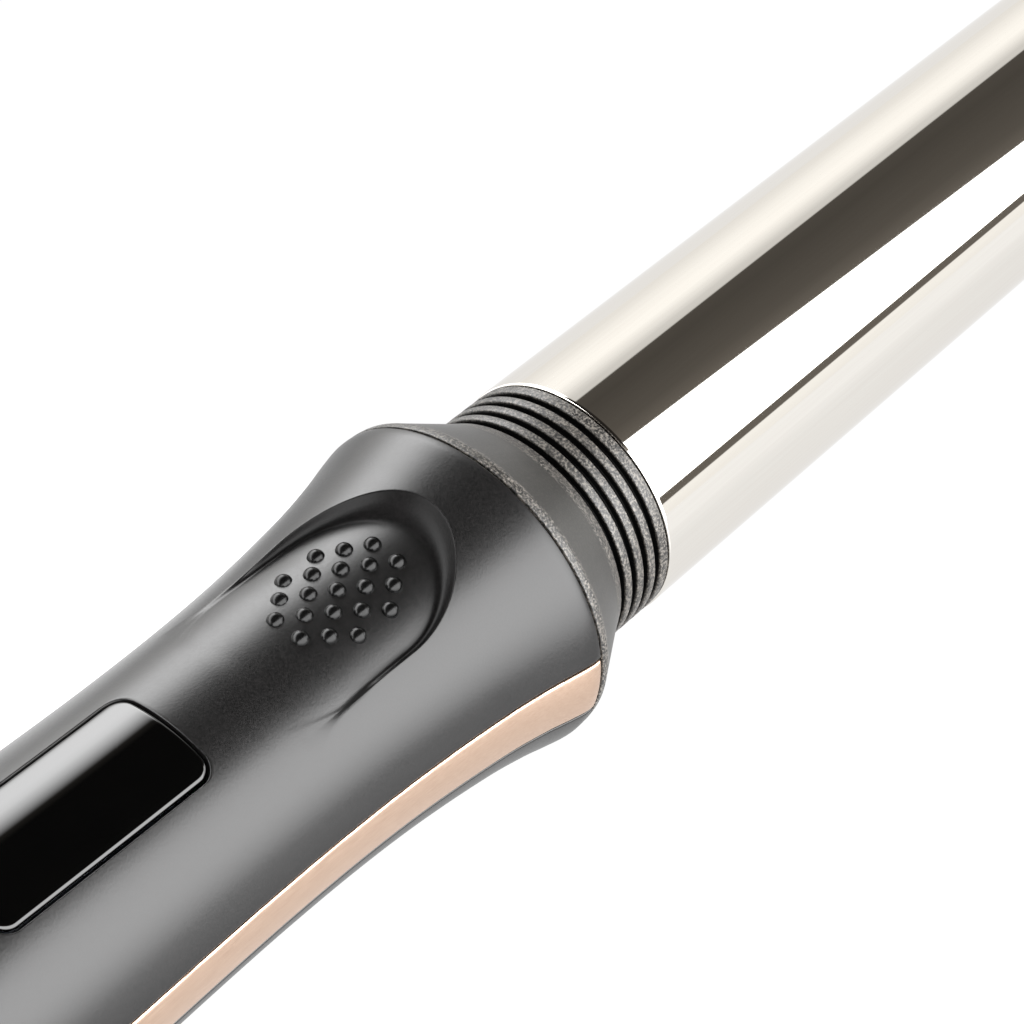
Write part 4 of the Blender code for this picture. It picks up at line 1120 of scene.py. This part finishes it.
def spark_nylon():
    """Glass-filled nylon moulded in a spark-eroded tool, with painted shade at the bottom of its grooves:
    near-black, with little reflection.
    Gives the eye a coarse sparkle on ribs and bands, and a smoother cone between them. The real
    sparkle is too fine to show, so it is drawn about twice as coarse."""
    material, tree, shader, place = new_material("spark_textured_nylon")
    shader.inputs["IOR"].default_value = 1.53
    texture = add_node(tree, "ShaderNodeTexNoise", {"Vector": place},
                       {"Scale": 1.0 / (0.3 * MM), "Detail": 3.0, "Roughness": 0.7})
    axes = add_node(tree, "ShaderNodeSeparateXYZ", {"Vector": place})
    rough_band = add_node(tree, "ShaderNodeValToRGB")
    low = FOOT_X + CONE_REAR - 0.2 * MM
    high = FOOT_X + CONE_FRONT + 0.5 * MM
    span = add_node(tree, "ShaderNodeMapRange", {"Value": axes.outputs["X"]},
                    {"From Min": low - MM, "From Max": high + MM})
    tree.links.new(span.outputs["Result"], rough_band.inputs["Fac"])
    width = high - low + 2 * MM
    ramp = rough_band.color_ramp
    ramp.elements[0].position = 0.9 * MM / width
    ramp.elements[0].color = (1, 1, 1, 1)
    ramp.elements[1].position = 1.0 - 0.9 * MM / width
    ramp.elements[1].color = (1, 1, 1, 1)
    for place_in_ramp in (1.2 * MM / width, 1.0 - 1.2 * MM / width):
        ramp.elements.new(place_in_ramp).color = (0.12, 0.12, 0.12, 1)
    tone = add_node(tree, "ShaderNodeValToRGB", {"Fac": texture.outputs["Fac"]})
    tone.color_ramp.elements[0].position = 0.46
    tone.color_ramp.elements[0].color = to_linear("0a0908")
    tone.color_ramp.elements[1].position = 0.62
    tone.color_ramp.elements[1].color = to_linear("5a5651")
    even = add_node(tree, "ShaderNodeMix", {0: rough_band.outputs["Color"], 7: tone.outputs["Color"]},
                    {6: to_linear("171614")}, data_type="RGBA")
    out = add_node(tree, "ShaderNodeMath", {0: axes.outputs["Z"]}, {1: AXIS_HEIGHT}, operation="SUBTRACT")
    across = add_node(tree, "ShaderNodeCombineXYZ", {"X": axes.outputs["Y"], "Y": out.outputs[0]})
    reach = add_node(tree, "ShaderNodeVectorMath", {0: across.outputs[0]}, operation="LENGTH")
    # painted shade: below the ribs' tops the groove floors are painted near-black (030303) and their
    # reflection level drops to 0.05
    outer = add_node(tree, "ShaderNodeMapRange", {"Value": reach.outputs["Value"]},
                     {"From Min": COLLAR_RADIUS - 0.4 * MM, "From Max": COLLAR_RADIUS - 0.12 * MM})
    groove_painted_shade = add_node(tree, "ShaderNodeMix", {0: outer.outputs["Result"], 7: even.outputs[2]},
                      {6: to_linear("030303")}, data_type="RGBA")
    tree.links.new(groove_painted_shade.outputs[2], shader.inputs["Base Color"])
    painted_shade_level = add_node(tree, "ShaderNodeMapRange", {"Value": outer.outputs["Result"]},
                     {"To Min": 0.05, "To Max": 0.5})
    tree.links.new(painted_shade_level.outputs["Result"], shader.inputs["Specular IOR Level"])
    shader.inputs["Roughness"].default_value = 0.4
    depth = add_node(tree, "ShaderNodeMath", {0: rough_band.outputs["Color"]}, {1: 0.07 * MM},
                     operation="MULTIPLY")
    bump = add_node(tree, "ShaderNodeBump", {"Height": texture.outputs["Fac"],
                                             "Distance": depth.outputs["Value"]}, {"Strength": 1.0})
    tree.links.new(bump.outputs["Normal"], shader.inputs["Normal"])
    return material


def rose_gold():
    """Anodised aluminium strip, finely brushed along its length.
    Gives the eye a satin pink-gold band that keeps one even tone."""
    material, tree, shader, place = new_material("rose_gold_anodised_aluminium")
    shader.inputs["Metallic"].default_value = 1.0
    stretched = add_node(tree, "ShaderNodeMapping", {"Vector": place}, {"Scale": (0.05, 1.0, 1.0)})
    lines = add_node(tree, "ShaderNodeTexNoise", {"Vector": stretched.outputs["Vector"]},
                     {"Scale": 1.0 / (0.12 * MM), "Detail": 2.0})
    gloss = add_node(tree, "ShaderNodeMapRange", {"Value": lines.outputs["Fac"]},
                     {"To Min": 0.24, "To Max": 0.4})
    tree.links.new(gloss.outputs["Result"], shader.inputs["Roughness"])
    tone = add_node(tree, "ShaderNodeValToRGB", {"Fac": lines.outputs["Fac"]})
    tone.color_ramp.elements[0].position = 0.2
    tone.color_ramp.elements[0].color = to_linear("c2a48f")
    tone.color_ramp.elements[1].position = 0.8
    tone.color_ramp.elements[1].color = to_linear("cfb5a1")
    tree.links.new(tone.outputs["Color"], shader.inputs["Base Color"])
    bump = add_node(tree, "ShaderNodeBump", {"Height": lines.outputs["Fac"]},
                    {"Strength": 1.0, "Distance": 0.002 * MM})
    tree.links.new(bump.outputs["Normal"], shader.inputs["Normal"])
    return material


def piano_black():
    """Back-painted acrylic, polished.
    Gives the eye a near-black pane with sharp reflections."""
    material, tree, shader, place = new_material("piano_black_acrylic")
    shader.inputs["IOR"].default_value = 1.5
    cloud = add_node(tree, "ShaderNodeTexNoise", {"Vector": place}, {"Scale": 1.0 / (6 * MM)})
    tone = add_node(tree, "ShaderNodeValToRGB", {"Fac": cloud.outputs["Fac"]})
    tone.color_ramp.elements[0].color = to_linear("010101")
    tone.color_ramp.elements[1].color = to_linear("020202")
    tree.links.new(tone.outputs["Color"], shader.inputs["Base Color"])
    shader.inputs["Roughness"].default_value = 0.03
    return material


# --- studio -------------------------------------------------------------------------------
def make_tent():
    """Half-round light tent over the wand, with a dark strip overhead and soft boxes beside it."""
    angles = spread(-TENT_HALF_SWEEP, TENT_HALF_SWEEP, TENT_COLUMNS)
    rows = []
    for x in (TENT_REAR, -0.4, 0.0, TENT_SPLIT, 0.5, TENT_FRONT):
        rows.append([Vector((x, -TENT_RADIUS * math.sin(math.radians(a)),
                             AXIS_HEIGHT + TENT_RADIUS * math.cos(math.radians(a)))) for a in angles])
    tent = laid_sheet("light_tent", rows)
    tent.visible_camera = False
    material, tree, output, place = bare_material("light_tent")
    axes = add_node(tree, "ShaderNodeSeparateXYZ", {"Vector": place})
    up = add_node(tree, "ShaderNodeMath", {0: axes.outputs["Z"]}, {1: AXIS_HEIGHT}, operation="SUBTRACT")
    right = add_node(tree, "ShaderNodeMath", {0: axes.outputs["Y"]}, {1: -1.0}, operation="MULTIPLY")
    turn = add_node(tree, "ShaderNodeMath", {0: right.outputs[0], 1: up.outputs[0]}, operation="ARCTAN2")
    slant = add_node(tree, "ShaderNodeMapRange", {"Value": axes.outputs["X"]},
                     {"From Min": SLANT_START, "From Max": SLANT_END,
                      "To Min": SLANT_TURN * (SLANT_START - SLANT_ZERO),
                      "To Max": SLANT_TURN * (SLANT_END - SLANT_ZERO)})
    rise = add_node(tree, "ShaderNodeMapRange", {"Value": turn.outputs[0]},
                    {"From Min": math.radians(SLANT_RISE[0]), "From Max": math.radians(SLANT_RISE[1])})
    fall = add_node(tree, "ShaderNodeMapRange", {"Value": turn.outputs[0]},
                    {"From Min": math.radians(SLANT_FALL[0]), "From Max": math.radians(SLANT_FALL[1]),
                     "To Min": 1.0, "To Max": 0.0})
    share = add_node(tree, "ShaderNodeMath", {0: rise.outputs["Result"], 1: fall.outputs["Result"]},
                     operation="MULTIPLY")
    shift = add_node(tree, "ShaderNodeMath", {0: share.outputs[0], 1: slant.outputs["Result"]},
                     operation="MULTIPLY")
    shifted = add_node(tree, "ShaderNodeMath", {0: turn.outputs[0], 1: shift.outputs[0]},
                       operation="SUBTRACT")
    fraction = add_node(tree, "ShaderNodeMapRange", {"Value": shifted.outputs[0]},
                        {"From Min": -math.radians(RAMP_HALF_SWEEP),
                         "From Max": math.radians(RAMP_HALF_SWEEP)})
    ramps = []
    for column in (1, 2):
        ramp = add_node(tree, "ShaderNodeValToRGB", {"Fac": fraction.outputs["Result"]})
        stops = ramp.color_ramp
        for tone in TENT_TONES:
            level = tone[column] / TENT_PEAK
            tint = WARM_GREY if tone[column] < DARK_BELOW else PALE_WHITE
            if tone[column] > BRIGHT_ABOVE:
                tint = WHITE
            position = (tone[0] + RAMP_HALF_SWEEP) / (2 * RAMP_HALF_SWEEP)
            element = stops.elements.new(position)
            element.color = (level * tint[0], level * tint[1], level * tint[2], 1.0)
        stops.elements.remove(stops.elements[0])
        stops.elements.remove(stops.elements[-1])
        ramps.append(ramp.outputs["Color"])
    split = add_node(tree, "ShaderNodeMapRange", {"Value": axes.outputs["X"]},
                     {"From Min": TENT_SPLIT - SPLIT_BLEND, "From Max": TENT_SPLIT + SPLIT_BLEND})
    mixed = add_node(tree, "ShaderNodeMix", {0: split.outputs["Result"], 6: ramps[0], 7: ramps[1]},
                     data_type="RGBA")
    glow = add_node(tree, "ShaderNodeEmission", {"Color": mixed.outputs[2]}, {"Strength": TENT_PEAK})
    tree.links.new(glow.outputs["Emission"], output.inputs["Surface"])
    tent.data.materials.append(material)


def make_floor():
    """Pale floor that glows instead of being lit, with painted pools of light beside the handle and away
    to the right.
    """
    floor = start_piece("floor", bpy.ops.mesh.primitive_circle_add, vertices=96, radius=6.0,
                        fill_type="NGON")
    material, tree, output, place = bare_material("glowing_floor_painted_light")
    axes = add_node(tree, "ShaderNodeSeparateXYZ", {"Vector": place})
    behind = add_node(tree, "ShaderNodeMapRange", {"Value": axes.outputs["X"]},
                      # painted pools of light beside the handle and to the right, added to the floor's
                      # even glow
                      {"From Min": -0.004, "From Max": -0.016})
    left = add_node(tree, "ShaderNodeMapRange", {"Value": axes.outputs["Y"]},
                    {"From Min": 0.0, "From Max": 0.02, "To Max": FLOOR_GLOW_LEFT})
    right = add_node(tree, "ShaderNodeMapRange", {"Value": axes.outputs["Y"]},
                     {"From Min": -0.05, "From Max": -0.09, "To Max": FLOOR_GLOW_FAR})
    far_right = add_node(tree, "ShaderNodeMapRange", {"Value": axes.outputs["Y"]},
                         {"From Min": -0.045, "From Max": -0.08, "To Max": FLOOR_GLOW_RIGHT})
    sides = add_node(tree, "ShaderNodeMath", {0: left.outputs["Result"], 1: far_right.outputs["Result"]},
                     operation="ADD")
    beside = add_node(tree, "ShaderNodeMath", {0: behind.outputs["Result"], 1: sides.outputs[0]},
                      operation="MULTIPLY")
    more = add_node(tree, "ShaderNodeMath", {0: beside.outputs[0], 1: right.outputs["Result"]},
                    operation="ADD")
    level = add_node(tree, "ShaderNodeMath", {0: more.outputs[0]}, {1: FLOOR_LEVEL}, operation="ADD")
    glow = add_node(tree, "ShaderNodeEmission", {"Strength": level.outputs[0]},
                    {"Color": (*WHITE, 1.0)})
    tree.links.new(glow.outputs["Emission"], output.inputs["Surface"])
    floor.data.materials.append(material)


def make_world():
    """White surroundings, which light the object less than the camera sees."""
    world = bpy.data.worlds.new("studio")
    bpy.context.scene.world = world
    world.use_nodes = True
    tree = world.node_tree
    tree.nodes.clear()
    output = add_node(tree, "ShaderNodeOutputWorld")
    path = add_node(tree, "ShaderNodeLightPath")
    level = add_node(tree, "ShaderNodeMapRange", {"Value": path.outputs["Is Camera Ray"]},
                     {"To Min": ROOM_LEVEL, "To Max": 1.0})
    glow = add_node(tree, "ShaderNodeBackground", {"Strength": level.outputs["Result"]},
                    {"Color": (*WHITE, 1.0)})
    tree.links.new(glow.outputs["Background"], output.inputs["Surface"])


def make_camera():
    data = bpy.data.cameras.new("camera")
    data.lens = LENS
    data.sensor_width = 36.0
    data.clip_start = 0.01
    camera = bpy.data.objects.new("camera", data)
    camera.location = CAMERA_PLACE
    camera.rotation_euler = [math.radians(v) for v in CAMERA_TURN]
    bpy.context.scene.collection.objects.link(camera)
    bpy.context.scene.camera = camera


# material, two tones, roughness, grain in mm, relief in mm, metallic, then the nodes made of it
INNER_FINISHES = [
    ("extruded_aluminium", "aeb0b2", "bfc1c3", 0.38, 0.5, 0.004, 1.0,
     "upper_heat_spreader", "lower_heat_spreader"),
    ("alumina_ceramic", "dfdbd1", "ece8df", 0.6, 0.3, 0.01, 0.0, "ceramic_heater"),
    ("mica_board", "a98e66", "bfa57d", 0.65, 1.2, 0.03, 0.0, "tip_bush"),
    ("phenolic_resin", "33241d", "443128", 0.55, 0.6, 0.01, 0.0, "heater_seat"),
    ("spring_steel", "85878a", "98999b", 0.32, 0.4, 0.002, 1.0, "wave_spring"),
    ("nickel_plate", "a39f97", "b2aea6", 0.28, 0.6, 0.002, 1.0, "thermal_fuse"),
    ("glass_bead", "9a3419", "ad4224", 0.15, 1.0, 0.001, 0.0, "thermistor"),
    ("lcd_module_frame", "343940", "41464d", 0.45, 0.3, 0.006, 0.0, "display_module"),
    ("moulded_switch_body", "18181a", "222224", 0.5, 0.2, 0.006, 0.0,
     "power_switch", "plus_switch", "minus_switch"),
    ("fr4_laminate", "1a5134", "256541", 0.42, 0.7, 0.006, 0.0, "main_board"),
    ("polypropylene_film_can", "c09c31", "d1af48", 0.4, 0.6, 0.004, 0.0, "suppression_capacitor"),
    ("epoxy_package", "131316", "1d1d20", 0.55, 0.15, 0.006, 0.0, "triac"),
    ("red_silicone", "832a25", "98352f", 0.5, 0.4, 0.006, 0.0, "live_lead"),
    ("blue_silicone", "273a63", "334875", 0.5, 0.4, 0.006, 0.0, "neutral_lead"),
    ("braided_glass_fibre", "c9c5b8", "e2dfd4", 0.8, 0.35, 0.05, 0.0, "sensor_lead"),
    ("turned_brass", "ad8b45", "c2a15c", 0.25, 0.5, 0.003, 1.0, "slip_ring_drum"),
    ("contact_resin", "cfc9b9", "dfdaca", 0.55, 0.4, 0.006, 0.0, "contact_block"),
]


def finish_inner_nodes():
    """Real materials for the working parts that keep the model's own shapes."""
    for name, dark, light, roughness, grain, depth, metallic, *nodes in INNER_FINISHES:
        material = grained(name, dark, light, roughness, grain * MM, depth * MM, metallic, swing=0.04)
        for node in nodes:
            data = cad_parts[node].data
            data.materials.clear()
            data.materials.append(material)


def main():
    bpy.context.scene.view_settings.view_transform = "Standard"
    make_camera()
    make_world()
    make_floor()
    make_tent()
    lacquer = soft_touch()
    steel = grained("zinc_plated_steel", "9b9c9a", "b1b2b0", 0.3, 0.4 * MM, 0.003 * MM, 1.0)
    abs_black = grained("matte_black_abs", "1d1c1d", "262526", 0.5, 0.2 * MM, 0.012 * MM)
    nylon_black = grained("matte_black_nylon", "1c1b1b", "272626", 0.5, 0.25 * MM, 0.015 * MM)
    rubber = grained("moulded_pvc", "191919", "222222", 0.55, 0.3 * MM, 0.01 * MM)
    key_rubber = grained("soft_touch_silicone", "1e1d1d", "272626", 0.5, 0.2 * MM, 0.006 * MM)
    dot_plastic = grained("polished_tpe", "040404", "060606", 0.24, 0.4 * MM, 0.001 * MM, ior=1.28,
                          swing=0.02)
    paint = grained("pale_pad_print", "b9b6b1", "c9c6c1", 0.5, 0.2 * MM, 0.004 * MM)
    pps = grained("moulded_pps", "191818", "232222", 0.42, 0.2 * MM, 0.008 * MM)
    make_barrel(titanium_plate())
    make_tip(pps)
    make_collar(spark_nylon())
    make_top_shell(lacquer, dot_plastic)
    make_bottom_shell(lacquer)
    make_trim(rose_gold())
    make_window(piano_black())
    make_buttons(key_rubber, paint)
    make_tail(abs_black, rubber)
    make_screws(steel)
    make_stand(nylon_black, steel)
    finish_inner_nodes()


main()
